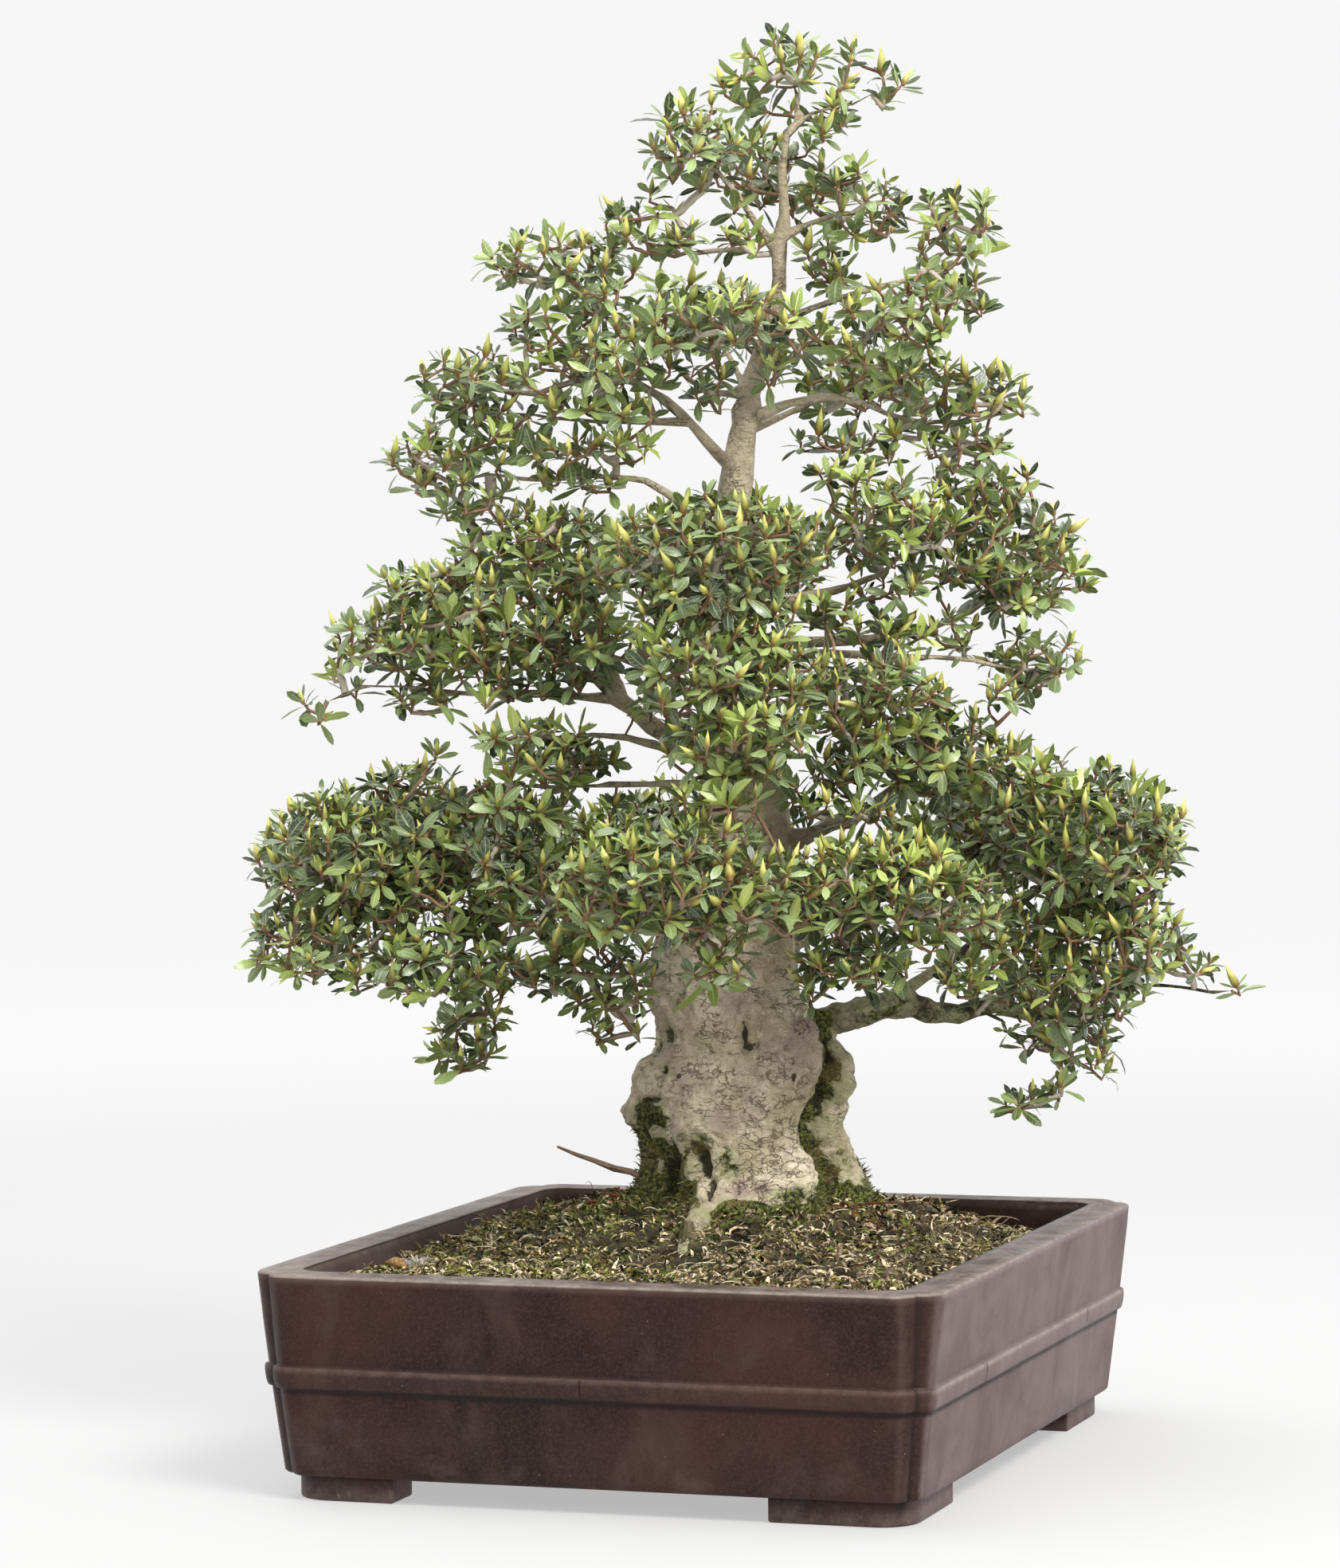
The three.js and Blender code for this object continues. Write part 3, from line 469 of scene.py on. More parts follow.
def bark_material():
    """Reads `bark`: green moss, painted shade in hollows, slits and creases, which also darkens the low
    limbs, and purple patch (0 to 1 each); `girth`, which is 0 on a thin limb and 1 on the trunk; and
    `cracked`, where the bark is crazed."""
    n = Nodes("azalea_bark")
    moss, shade_and_dark_limbs, purple = n.split(n.attribute("bark", "Vector"))
    girth, cracked = n.attribute("girth"), n.attribute("cracked")
    broad = n.noise(34, 5, 0.6)
    fine = n.noise(230, 6, 0.66, distortion=0.7)
    flow = n.noise(105, 5, 0.62, stretch=(1, 1, 2.4), distortion=1.2)
    specks = n.noise(760, 2)
    skin = n.layer(BARK_SHADE, BARK_LIGHT, broad, 0.34, 0.64)
    # Pale flakes of bark, whitened further as painted highlights
    skin = n.layer(skin, FLAKE_AND_HIGHLIGHT, fine, 0.55, 0.68, 0.0, 0.8)
    dark = n.mix(girth, LIMB_DARK, TRUNK_DARK)
    skin = n.layer(skin, dark, fine, 0.38, 0.48, 0.48, 0.0)
    skin = n.layer(skin, FURROW, flow, 0.43, 0.36, 0.0, 0.5)
    skin = n.layer(skin, ROSY, n.noise(24, 3), 0.52, 0.66, 0.0, 0.5)
    skin = n.layer(skin, ALGAE, n.noise(28, 4), 0.5, 0.66, 0.0, 0.35)
    skin = n.layer(skin, PURPLE, purple, 0.05, 0.4, 0.0, 0.6)
    spotted = n.times(n.ranged(purple, 0.45, 0.8), n.ranged(n.noise(420, 3), 0.46, 0.54))
    skin = n.mix(n.times(spotted, 0.85), skin, PURPLE_SPOT)
    crack = n.ranged(n.warped_cells(CRACK_CELLS, CRACK_SWAY, CRACK_STRETCH), 0.065, 0.015)
    patches = n.ranged(n.maths("MULTIPLY_ADD", cracked, 0.22, n.noise(70, 4)), 0.50, 0.60)
    crack = n.times(crack, patches)
    skin = n.mix(n.times(crack, 0.66), skin, CRACK)
    skin = n.layer(skin, LIMB_GREY, girth, 0.95, 0.3, 0.0, 0.42)
    height = n.split(n.place())[2]
    low_limb = n.times(n.ranged(height, *BROWN_BELOW), n.ranged(height, *BROWN_ABOVE))
    low_limb = n.times(low_limb, n.ranged(girth, 0.75, 0.35))
    low_limb = n.times(low_limb, n.ranged(flow, 0.62, 0.45, 0.3, 0.85))
    skin = n.mix(low_limb, skin, LIMB_BROWN)
    skin = n.layer(skin, SPECK, specks, 0.67, 0.73, 0.0, 0.75)
    tuft = n.noise(460, 5, 0.7)
    mossy = n.layer(MOSS_DARK, MOSS_LIGHT, tuft, 0.42, 0.64)
    mossy = n.layer(mossy, MOSS_BROWN, n.noise(48, 3), 0.46, 0.60, 0.0, 0.6)
    cover = n.maths("ADD", moss, n.maths("MULTIPLY_ADD", n.noise(130, 5, 0.65), 1.1, -0.55))
    colour = n.layer(skin, MOSS_FILM, cover, 0.10, 0.45, 0.0, 0.55)
    colour = n.layer(colour, mossy, cover, 0.48, 0.62)
    # Painted shade, near black, in the hollows, slits and creases, and the darker low limbs
    ragged = n.ranged(n.maths("MULTIPLY_ADD", fine, -1.3, n.maths("ADD", shade_and_dark_limbs, 0.65)), 0.38, 0.66)
    colour = n.mix(n.times(ragged, 0.9), colour, SHADE_AND_DARK_LIMBS)
    relief = n.maths("ADD", fine, n.maths("MULTIPLY_ADD", flow, 0.9, n.times(tuft, 0.3)))
    relief = n.maths("MULTIPLY_ADD", crack, -0.7, relief)
    return n.finish(colour, n.ranged(fine, 0.3, 0.7, 0.60, 0.9), n.bump(relief, 1.0, 0.0022))


MOSS_GAP_SHADE, MOSS_GAP_SHARE = (0.02, 0.014, 0.006), 0.72


def moss_material(name):
    """Reads `tint`, the colour of each bit."""
    n = Nodes(name)
    grain = n.noise(600, 4, 0.7)
    tint = n.attribute("tint", "Vector")
    # Painted shade between the strands: where the grain is low, the tint is darkened towards near black
    shaded = n.mix(MOSS_GAP_SHARE, tint, MOSS_GAP_SHADE)
    colour = n.layer(shaded, tint, grain, 0.36, 0.60)
    return n.finish(colour, 0.85, n.bump(grain, 0.8, 0.0014), Specular_IOR_Level=0.25)


CLAY_DARK, CLAY_RED, CLAY_GRAIN = (0.013, 0.0055, 0.0047), (0.045, 0.0150, 0.0102), (0.074, 0.035, 0.028)
CLAY_STAIN, CLAY_STREAK, CLAY_BLOOM = (0.062, 0.033, 0.027), (0.070, 0.040, 0.034), (0.085, 0.060, 0.053)
DUST_SHEEN_DARK, DUST_SHEEN_LIGHT, DUST_SHEEN_RUN = (0.125, 0.083, 0.079), (0.190, 0.138, 0.134), (0.25, 0.20, 0.195)
CLAY_FLECK, GROOVE_SHADE_AND_JOINTS = (0.30, 0.23, 0.20), (0.012, 0.006, 0.005)
LIP_DARK, LIP_LIGHT, LIP_CLOUD = (0.060, 0.038, 0.032), (0.132, 0.098, 0.084), (0.22, 0.182, 0.156)
LIP_SPECK = (0.36, 0.32, 0.28)
EDGE_HIGHLIGHT_AND_WEAR, WORN_LIP, WORN_SIDE_SHEEN = (0.110, 0.068, 0.057), (0.30, 0.26, 0.226), (0.29, 0.24, 0.23)
BLOOM_HEIGHTS = (0.062, 0.016)         # the bloom of lime on the walls begins and is full
DUST_SHEEN_ENDS = (0.218, 0.200)            # dust and a painted sheen lie on the side walls up to here, from the middle
PALE_LIP = (-0.08, -0.19)              # the lip is cloudier towards the left

# Joints of the belt's strips: axis that they lie across (0 is x) and place along it, and the axis that
# their wall faces and its place
SEAMS = ((0, -0.0265, 1, -0.215), (1, -0.1065, 0, 0.165), (1, 0.119, 0, 0.165))
SEAM_HALF, SEAM_WALL = 0.9 * MM, 1 * MM
SEAM_HEIGHT, SEAM_ENDS = 70 * MM, (6.2 * MM, 5.0 * MM)


def belt_seams(n, x, y):
    """1 in the upright joints of the belt's strips, on the front and on the right side."""
    found = 0.0
    for across, place, facing, limit in SEAMS:
        gap = n.size(n.maths("SUBTRACT", (x, y)[across], place))
        outer = n.times((x, y)[facing], math.copysign(1, limit))
        line = n.ranged(gap, SEAM_HALF, SEAM_HALF / 3)
        line = n.times(line, n.ranged(outer, abs(limit) - SEAM_WALL, abs(limit)))
        found = n.maths("MAXIMUM", found, line)
    return found


def clay_material():
    """Reads `clay`: how much of the pale rim, of worn edges and painted highlights on edges, and of
    painted shade in the grooves there is at a place."""
    n = Nodes("unglazed_clay")
    rim, edge, groove = n.split(n.attribute("clay", "Vector"))
    x, y, z = n.split(n.place())
    patch = n.noise(9, 5, 0.6)
    stain = n.noise(21, 6, 0.68, distortion=0.5)
    streak = n.noise(34, 4, 0.6, stretch=(1, 1, 0.14))
    drip = n.noise(95, 4, 0.6, stretch=(1, 1, 0.11))
    grain = n.noise(620, 4, 0.6)
    body = n.layer(CLAY_DARK, CLAY_RED, patch, 0.38, 0.62)
    body = n.layer(body, CLAY_STAIN, stain, 0.50, 0.68, 0.0, 0.6)
    body = n.layer(body, CLAY_STREAK, streak, 0.52, 0.75, 0.0, 0.25)
    body = n.layer(body, CLAY_GRAIN, grain, 0.42, 0.66, 0.0, 0.4)
    low = n.ranged(z, *BLOOM_HEIGHTS)
    body = n.mix(n.times(low, n.ranged(stain, 0.40, 0.66, 0.05, 0.5)), body, CLAY_BLOOM)
    # The walls that face the sides are paler: partly dust, partly painted sheen and light from the side
    facing = n.node("ShaderNodeNewGeometry").outputs["Normal"]
    side = n.ranged(n.size(n.split(facing)[0]), 0.55, 0.92)
    side = n.times(side, n.ranged(n.size(y), *DUST_SHEEN_ENDS))
    dust_and_sheen = n.layer(DUST_SHEEN_DARK, DUST_SHEEN_LIGHT, stain, 0.34, 0.66)
    dust_and_sheen = n.layer(dust_and_sheen, DUST_SHEEN_RUN, drip, 0.54, 0.74, 0.0, 0.16)
    body = n.mix(n.times(side, n.ranged(streak, 0.3, 0.75, 0.72, 0.84)), body, dust_and_sheen)
    few = n.ranged(n.noise(60, 2), 0.56, 0.64)
    flecks = n.times(n.ranged(n.cells(150), 0.075, 0.03, 0.0, 0.7), few)
    body = n.mix(flecks, body, CLAY_FLECK)
    cloud = n.maths("ADD", n.noise(26, 5, 0.62), n.ranged(x, *PALE_LIP, 0.0, 0.16))
    lip = n.layer(LIP_DARK, LIP_LIGHT, n.noise(75, 5, 0.65), 0.38, 0.6)
    lip = n.layer(lip, LIP_CLOUD, cloud, 0.50, 0.72, 0.0, 0.7)
    lip = n.layer(lip, LIP_SPECK, n.noise(230, 4, 0.7), 0.56, 0.68, 0.0, 0.5)
    colour = n.mix(rim, body, lip)
    # Worn edges, and painted highlights along the belt's top edge and on the rounds beside the corner
    # grooves
    edge_patches = n.ranged(n.noise(120, 5, 0.7), 0.38, 0.62, 0.5, 0.9)
    wear_and_highlight = n.layer(EDGE_HIGHLIGHT_AND_WEAR, WORN_LIP, rim, 0.1, 0.5)
    wear_and_highlight = n.mix(side, wear_and_highlight, WORN_SIDE_SHEEN)
    colour = n.mix(n.times(edge, edge_patches), colour, wear_and_highlight)
    seams = belt_seams(n, x, y)
    seams = n.times(seams, n.ranged(n.size(n.maths("SUBTRACT", z, SEAM_HEIGHT)), *SEAM_ENDS))
    groove = n.maths("MAXIMUM", groove, seams)
    # Painted shade in the grooves, the corner notches and inside the pot, and the belt's dark joints
    colour = n.mix(n.times(groove, 0.8), colour, GROOVE_SHADE_AND_JOINTS)
    rough = n.ranged(n.maths("ADD", patch, streak), 0.7, 1.3, 0.42, 0.60)
    relief = n.maths("MULTIPLY_ADD", n.noise(90, 4), 0.6, n.times(grain, 0.3))
    relief = n.maths("MULTIPLY_ADD", seams, -1.0, relief)
    return n.finish(colour, rough, n.bump(relief, 0.35, 0.0009), Specular_IOR_Level=0.2)


def plain_material(name, dark, light, scale, roughness, **sockets):
    """Two shades of one colour in a fine grain, for the pieces inside the pot."""
    n = Nodes(name)
    grain = n.noise(scale, 5, 0.65)
    colour = n.layer(dark, light, grain, 0.35, 0.65)
    return n.finish(colour, roughness, n.bump(grain, 0.5, 0.0008), **sockets)


# ------------------------------------------------------------------ camera, floor and light

CAMERA_YAW, CAMERA_PITCH, CAMERA_ROLL = (math.radians(a) for a in (18.89, 2.13, 0.66))
CAMERA_DISTANCE = 3.0397               # from the pot's upright axis
CAMERA_RIGHT, CAMERA_HEIGHT = -0.0216, 0.3923
CAMERA_LENS, SENSOR = 119.7, 36.0


def camera():
    """The photograph's view, solved from the pot's rim, belt and feet."""
    back = Vector((
        math.sin(CAMERA_YAW) * math.cos(CAMERA_PITCH),
        -math.cos(CAMERA_YAW) * math.cos(CAMERA_PITCH),
        math.sin(CAMERA_PITCH)))
    right = Vector((math.cos(CAMERA_YAW), math.sin(CAMERA_YAW), 0))
    up = back.cross(right)
    c, s = math.cos(CAMERA_ROLL), math.sin(CAMERA_ROLL)
    axes = Matrix((right * c - up * s, right * s + up * c, back)).transposed()
    data = bpy.data.cameras.new("camera")
    data.lens, data.sensor_width = CAMERA_LENS, SENSOR
    thing = linked("camera", data)
    axis = Vector((POT_MIDDLE[0], POT_MIDDLE[1], CAMERA_HEIGHT))
    place = axis + right * CAMERA_RIGHT + back * CAMERA_DISTANCE
    thing.matrix_world = Matrix.Translation(place) @ axes.to_4x4()
    bpy.context.scene.camera = thing


FLOOR_FLAT, WALL_CURVE, WALL_HEIGHT = 4.0, 1.6, 4.5
STAGE_SIDES, WALL_STEPS = 96, 16
FLOOR_RADII = (0.001, 1.0, 2.0, 3.0, FLOOR_FLAT)
FLOOR_GREY, BACKDROP = 0.26, 0.93
NEAR_GLOW, FAR_GLOW = 0.465, 0.635     # the floor's own, as the lamps reach less of it far out
GLOW_RADII = (1.3, 3.2)
WALL_FROM = (0.0, 0.35)                # heights over which the floor turns into the backdrop


def round_sheet(name, profile, look):
    """A sheet turned about the upright axis from radii and heights."""
    turn = 2 * math.pi * np.arange(STAGE_SIDES) / STAGE_SIDES
    points = np.concatenate([
        np.stack([r * np.cos(turn), r * np.sin(turn), np.full(STAGE_SIDES, z)], 1) for r, z in profile])
    thing = mesh_object(name, points, ring_quads(STAGE_SIDES, len(profile)))
    thing.data.materials.append(look)
    return thing


def stage_material():
    """White card on the floor, which turns into an evenly lit white backdrop as it rises."""
    n = Nodes("studio_card")
    n.shader.inputs["Emission Color"].default_value = (1.0, 0.995, 0.995, 1)
    x, y, height = n.split(n.place())
    backdrop = n.ranged(height, *WALL_FROM)
    radius = n.maths("SQRT", n.maths("MULTIPLY_ADD", x, x, n.times(y, y)))
    floor_glow = n.ranged(radius, *GLOW_RADII, NEAR_GLOW, FAR_GLOW)
    colour = n.mix(backdrop, (FLOOR_GREY,) * 3, (0, 0, 0))
    glow = n.maths("MULTIPLY_ADD", backdrop, n.maths("SUBTRACT", BACKDROP, floor_glow), floor_glow)
    n.give(n.shader.inputs["Emission Strength"], glow)
    return n.finish(colour, 0.9, Specular_IOR_Level=0.0)


def stage():
    """A pale floor, and a pale round wall that it curves up into out beyond every view. The wall only
    shows: the sky's light reaches the tree as if it weren't there."""
    card = stage_material()
    round_sheet("floor", [(radius, 0.0) for radius in FLOOR_RADII], card)
    arc = [math.pi / 2 * i / WALL_STEPS for i in range(WALL_STEPS + 1)]
    profile = [(FLOOR_FLAT + WALL_CURVE * math.sin(a), WALL_CURVE * (1 - math.cos(a))) for a in arc]
    wall = round_sheet("wall", [*profile, (FLOOR_FLAT + WALL_CURVE, WALL_HEIGHT)], card)
    wall.visible_shadow = wall.visible_diffuse = wall.visible_glossy = False


SKY_BEHIND, SKY_FRONT = 1.12, 0.64     # the studio is brighter behind the tree than before it
SKY_SPAN, SKY_LEAN = (-0.2, 0.9), -0.2    # where the brighter part ends and begins, and its slant
SKY_COLOUR = (0.985, 0.992, 1.0, 1)
# Lamps: place, what they point at, size (m), power (W) and colour
LAMPS = {
    "key": ((1.9, -1.5, 2.4), (0, 0, 0.4), 1.2, 106, (1.0, 0.985, 0.955)),
    "top": ((-0.6, 0.3, 3.0), (0, 0, 0.3), 2.0, 48, (1, 1, 1)),
}


def area_light(name, place, target, size, power, colour):
    """A square lamp at a place that shines at a target."""
    data = bpy.data.lights.new(name, "AREA")
    data.size, data.energy, data.color = size, power, colour
    thing = linked(name, data)
    thing.location = place
    thing.rotation_euler = (Vector(target) - Vector(place)).to_track_quat("-Z", "Y").to_euler()


def lights():
    """A sky that is brighter behind the tree, and two soft lamps."""
    world = bpy.data.worlds.new("studio")
    bpy.context.scene.world = world
    world.use_nodes = True
    nodes, links = world.node_tree.nodes, world.node_tree.links
    background = nodes["Background"]
    background.inputs["Color"].default_value = SKY_COLOUR
    direction = nodes.new("ShaderNodeTexCoord").outputs["Generated"]
    towards = nodes.new("ShaderNodeVectorMath")
    towards.operation = "DOT_PRODUCT"
    towards.inputs[1].default_value = (math.sin(CAMERA_YAW), -math.cos(CAMERA_YAW), SKY_LEAN)
    fall = nodes.new("ShaderNodeMapRange")
    fall.interpolation_type = "SMOOTHSTEP"
    ends = dict(zip(("From Min", "From Max", "To Min", "To Max"), (*SKY_SPAN, SKY_BEHIND, SKY_FRONT)))
    for key, value in ends.items():
        fall.inputs[key].default_value = value
    links.new(direction, towards.inputs[0])
    links.new(towards.outputs["Value"], fall.inputs["Value"])
    links.new(fall.outputs[0], background.inputs["Strength"])
    for name, lamp in LAMPS.items():
        area_light(name, *lamp)
    bpy.context.scene.view_settings.view_transform = "Standard"


# ------------------------------------------------------------------ trunk and limbs

WOOD_VOXEL = 1.35 * MM
LIMB_DETAIL = 0.45                     # share of its faces that the wood keeps, the trunk most of all
SLIM, STOUT, THICKEST = 9 * MM, 34 * MM, 60 * MM    # a thin limb, a trunk, and as far as is measured
LIMB_WIDTHS = (2 * MM, 30 * MM)        # limits of the thickness that a limb's relief follows
EVEN_LIMB, EVEN_TRUNK, EVEN_ROUNDS = 0.08, 0.5, 24      # how strongly limbs, and trunks more, are evened
EVENNESS = 0.8                         # how strongly values along the wood are

# Relief of the bark: height (mm), size, octaves and seed
TRUNK_LUMPS = ((2.1, 24 * MM, 2, 5), (1.3, 10 * MM, 2, 9), (0.6, 4.6 * MM, 2, 27))
LIMB_HEIGHT, LIMB_LUMPS = 0.8, (7 * MM, 3, 31)
CREASE_SIZE, CREASE_DEPTH = (12 * MM, 12 * MM, 9 * MM), 1.3

# Marks of the trunk: place in the tree's frame (mm, of which the depth is found on the wood), reach
# (mm), height over the surface round it (mm), and how mossy it is, how much painted shade it holds
# and how purple it is
SURFACE_MARKS = [
    ((-37, -13, 201), (11, 11, 8), -8, (1.0, 0.35, 0)),       # knot hole at the left and its lobes
    ((-48, 0, 198), (4.5, 12, 7), 4, (0, 0, 0.3)),
    ((-31, -22, 213), (9, 10, 3), 4.2, (0.3, 0, 0.3)),
    ((-31, -18, 203), (3.8, 9, 3.4), 7, (1.0, 0.1, 0)),
    ((-41, -12, 204), (3.4, 9, 3.0), 5, (1.0, 0.1, 0)),
    ((-40, -8, 195), (3.6, 9, 2.8), 6, (1.0, 0.2, 0)),
    ((-36, -14, 209), (12, 10, 1.4), -3, (0.5, 1, 0)),
    ((-19, -28, 196), (3.8, 9, 5), 4.4, (0, 0, 0.4)),
    ((-41, -6, 187), (2.2, 9, 5.5), -6, (0.5, 0.9, 0)),
    ((-32, -9, 240), (5, 10, 4.5), -4.5, (0.6, 0.7, 0)),      # notches above it
    ((-26, -16, 248), (4, 10, 4.5), -4, (0.6, 0.6, 0)),
    ((-38, -9, 227), (8, 12, 8), 3.0, (0.2, 0, 0)),
    ((-26, -24, 228), (2.8, 9, 4), -3.5, (0.8, 0.5, 0)),
    ((-17, -32, 226), (5, 9, 4.6), 3.6, (0, 0, 0.2)),         # knob
    ((-16, -32, 225), (1.5, 9, 1.3), -2, (0, 0.9, 0)),
    ((19, -40, 248), (1.8, 8, 6.5), -5.5, (0.2, 1, 0)),       # slit and its hooked foot
    ((23, -40, 242), (4, 8, 1.5), -3, (0, 0.8, 0)),
    ((9, -39, 250), (6, 10, 10), 2.2, (0, 0, 0)),
    ((52, -25, 249), (6.5, 10, 5.5), 3, (0, 0.1, 0.9)),       # healed scar
    ((47, -32, 244), (4, 9, 4), -1.5, (0, 0.2, 0.6)),
    ((57, -25, 232), (5, 10, 17), 2.2, (0, 0, 0)),
    ((66, -10, 256), (4.2, 8, 8), -5, (1.0, 0.35, 0)),        # furrow down the right side
    ((69, -12, 243), (4.4, 8, 8.5), -5.5, (1.0, 0.35, 0)),
    ((71, -15, 229), (4.4, 8, 8.5), -5.5, (1.0, 0.35, 0)),
    ((68, -16, 215), (4.6, 8, 8.5), -6, (0.95, 0.4, 0)),
    ((62, -19, 203), (4.6, 8, 8), -6.5, (0.95, 0.45, 0)),
    ((57, -21, 193), (4.2, 8, 7.5), -7, (0.9, 0.5, 0)),
    ((61, -17, 181), (4.6, 8, 8.5), -6.5, (1.0, 0.4, 0)),
    ((65, -17, 168), (5.2, 8, 9), -6, (1.0, 0.35, 0)),
    ((71, -13, 236), (1.4, 7, 7), -3, (0.4, 1, 0)),           # and the painted shade in its slit
    ((66, -17, 207), (1.4, 7, 8), -3, (0.4, 1, 0)),
    ((57, -20, 191), (1.4, 7, 7), -3, (0.4, 1, 0)),
    ((66, -14, 237), (2.6, 7, 3.2), 3.4, (1.0, 0, 0)),        # mossy lumps in it
    ((73, -15, 222), (2.6, 7, 3.2), 3.2, (1.0, 0, 0)),
    ((63, -18, 209), (2.6, 7, 2.8), 3.4, (1.0, 0, 0)),
    ((60, -20, 186), (2.8, 7, 3.2), 3.4, (1.0, 0, 0)),
    ((64, -16, 175), (3.0, 7, 3.8), 3.6, (1.0, 0, 0)),
    ((76, -4, 234), (5, 14, 14), 4, (0.42, 0, 0)),            # ridge beyond it
    ((75, -11, 214), (4, 12, 10), 3.5, (0.45, 0, 0)),
    ((69, -12, 192), (5, 12, 9), 3.4, (0.48, 0, 0)),
    ((76, -8, 174), (6, 12, 9), 2, (0.5, 0, 0)),
    ((49, -43, 168), (12, 14, 11), 4, (0, 0, 0)),
    ((-5, -35, 173), (2.6, 11, 7), -8, (0.4, 1, 0)),          # slot beside the front root
    ((-1, -50, 162), (2.8, 11, 6), -8, (0.3, 1, 0)),
    ((-7, -36, 183), (6, 10, 7), -1.5, (0.85, 0.2, 0)),
    ((9, -42, 174), (7, 10, 8), 0.5, (0.60, 0, 0)),
    ((-14, -30, 174), (5, 10, 12), 0.5, (0.6, 0, 0)),
    ((15, -46, 161), (4, 10, 4), 0.5, (0, 0, 1)),
    ((29, -49, 160), (4, 10, 4), 0.5, (0, 0, 0.9)),
    ((-29, -20, 165), (9, 14, 17), -12, (1.0, 0.75, 0)),      # deep mossy recess left of that root, with painted shade in it
    ((-42, 3, 176), (9, 14, 14), -2, (1.0, 0.3, 0)),
    ((-34, -12, 180), (6, 14, 8), -1, (0.9, 0.4, 0)),
    ((-14, -28, 160), (5, 12, 12), 3.5, (0.3, 0, 0)),
    ((20, -54, 150), (14, 14, 4), 0.5, (0.6, 0, 0)),          # moss along the foot
    ((50, -48, 156), (15, 14, 4), 0.5, (0.65, 0, 0)),
    ((-21, -28, 265), (7, 10, 9), -4, (0.2, 0.4, 0)),         # recess under the lowest leaves, with a painted shadow
    ((8, -42, 199), (8, 12, 8), 0.8, (0, 0, 0.35)),
    ((3, -41, 217), (9, 12, 8), 1.6, (0, 0, 0)),
    ((37, -39, 200), (9, 12, 10), 1.8, (0, 0, 0.15)),
    ((48, -35, 222), (1.3, 8, 3), -2.2, (0, 0.9, 0)),
    ((26, -44, 176), (8, 12, 5), 1.6, (0, 0, 0.15)),
    ((30, -42, 183), (9, 12, 2), -1.6, (0, 0.25, 0)),
]
CRACKED = ((36, -50, 185), (20, 30, 22))         # place and reach of the crazed bark
MARK_SWAY = 2.2                        # how far the marks' outlines wander (mm)
FRONT_LIMIT = -140                     # in front of the whole trunk (mm)
FRONT_ROOT = ((-13, -92, 140), (20, 46, 20))     # place and reach of a root that stays bare
FRINGE_FRONT, FRINGE_SIDES = 5, 26     # how far up the foot the moss climbs (mm)
FOOT_TOP, FOOT_REACH = 215, 45.0       # wood below this is measured from the dressing, up to so far (mm)
# Heights between which wood is mossy (mm): where that begins and is full, going down and going up
BACK_MOSS = (330, 240)
LOW_LIMBS, LOW_LIMB_DARK = ((340, 280), (200, 235)), ((345, 300), (200, 235))
MIDDLE_MOSS = ((520, 490), (350, 400))
TRUNK_DETAIL = (330, 280)              # the trunk keeps its fine mesh below this (mm)


def averaged(mesh, values, weight, rounds):
    """Values evened out along the mesh's edges, as much as each vertex's weight says."""
    a, b = edge_ends(mesh)
    degree = np.maximum(np.bincount(a, minlength=len(values)) + np.bincount(b, minlength=len(values)), 1)
    for _ in range(rounds):
        total = np.stack([
            np.bincount(a, column[b], len(values)) + np.bincount(b, column[a], len(values))
            for column in values.T], 1)
        values = lerp(values, total / degree[:, None], weight[:, None])
    return values


def thickness(thing, points, normals, most):
    """How thick the wood is under each point, up to a limit."""
    tree = tree_of(thing)
    found = np.full(len(points), most)
    for i, (p, way) in enumerate(zip(points, -normals)):
        hit = tree.ray_cast(Vector(p + way * 0.2 * MM), Vector(way), most)
        if hit[0] is not None:
            found[i] = hit[3]
    return found


def largest_island(thing):
    """Drops the crumbs that a remesh leaves where the wood is thinner than a voxel."""
    mesh = thing.data
    a, b = edge_ends(mesh)
    label = np.arange(len(mesh.vertices))
    while True:
        lower = label.copy()
        np.minimum.at(lower, a, label[b])
        np.minimum.at(lower, b, label[a])
        lower = lower[lower]
        if (lower == label).all():
            break
        label = lower
    kept = np.bincount(label).argmax()
    work = bmesh.new()
    work.from_mesh(mesh)
    work.verts.ensure_lookup_table()
    bmesh.ops.delete(work, geom=[work.verts[i] for i in np.flatnonzero(label != kept)], context="VERTS")
    work.to_mesh(mesh)
    work.free()


def on_front(tree, place):
    """The wood's point that shows at a place from the tree's front, in the tree's frame."""
    start, end = tree_point([(place[0], FRONT_LIMIT, place[2]), place])
    hit = tree.ray_cast(Vector(start), Vector(unit(end - start)), 1.3 * np.linalg.norm(end - start))
    return np.array(place) if hit[0] is None else in_tree_frame(np.array([hit[0]]))[0]


def marks(local, tree):
    """Relief in mm, moss, painted shade and purple that the marks give at places in the tree's frame.
    Their outlines wander."""
    relief, tints = np.zeros(len(local)), np.zeros((3, len(local)))
    sway = MARK_SWAY * np.stack([fractal(local, 8.0, 3, 50 + 5 * i) for i in range(3)], 1)
    for place, reach, height, amounts in SURFACE_MARKS:
        off = (local + sway - on_front(tree, place)) / reach
        near = np.exp(-0.5 * (off**2).sum(1) ** 1.3)
        relief += height * near
        tints = np.maximum(tints, np.outer(amounts, near))
    return relief, tints


def closeness(local, place, reach):
    """1 at a place, and less further out, with a reach along each axis."""
    return np.exp(-(((local - place) / reach) ** 2).sum(1))


def above_dressing(points, local):
    """How far the wood's points lie from the dressing, in mm, up to a limit."""
    tree = tree_of(frame["nodes"]["moss"])
    found = np.full(len(points), FOOT_REACH)
    for i in np.flatnonzero(local[:, 2] < FOOT_TOP):
        hit = tree.find_nearest(Vector(points[i]), FOOT_REACH * MM)
        if hit[0] is not None:
            found[i] = hit[3] / MM
    return found


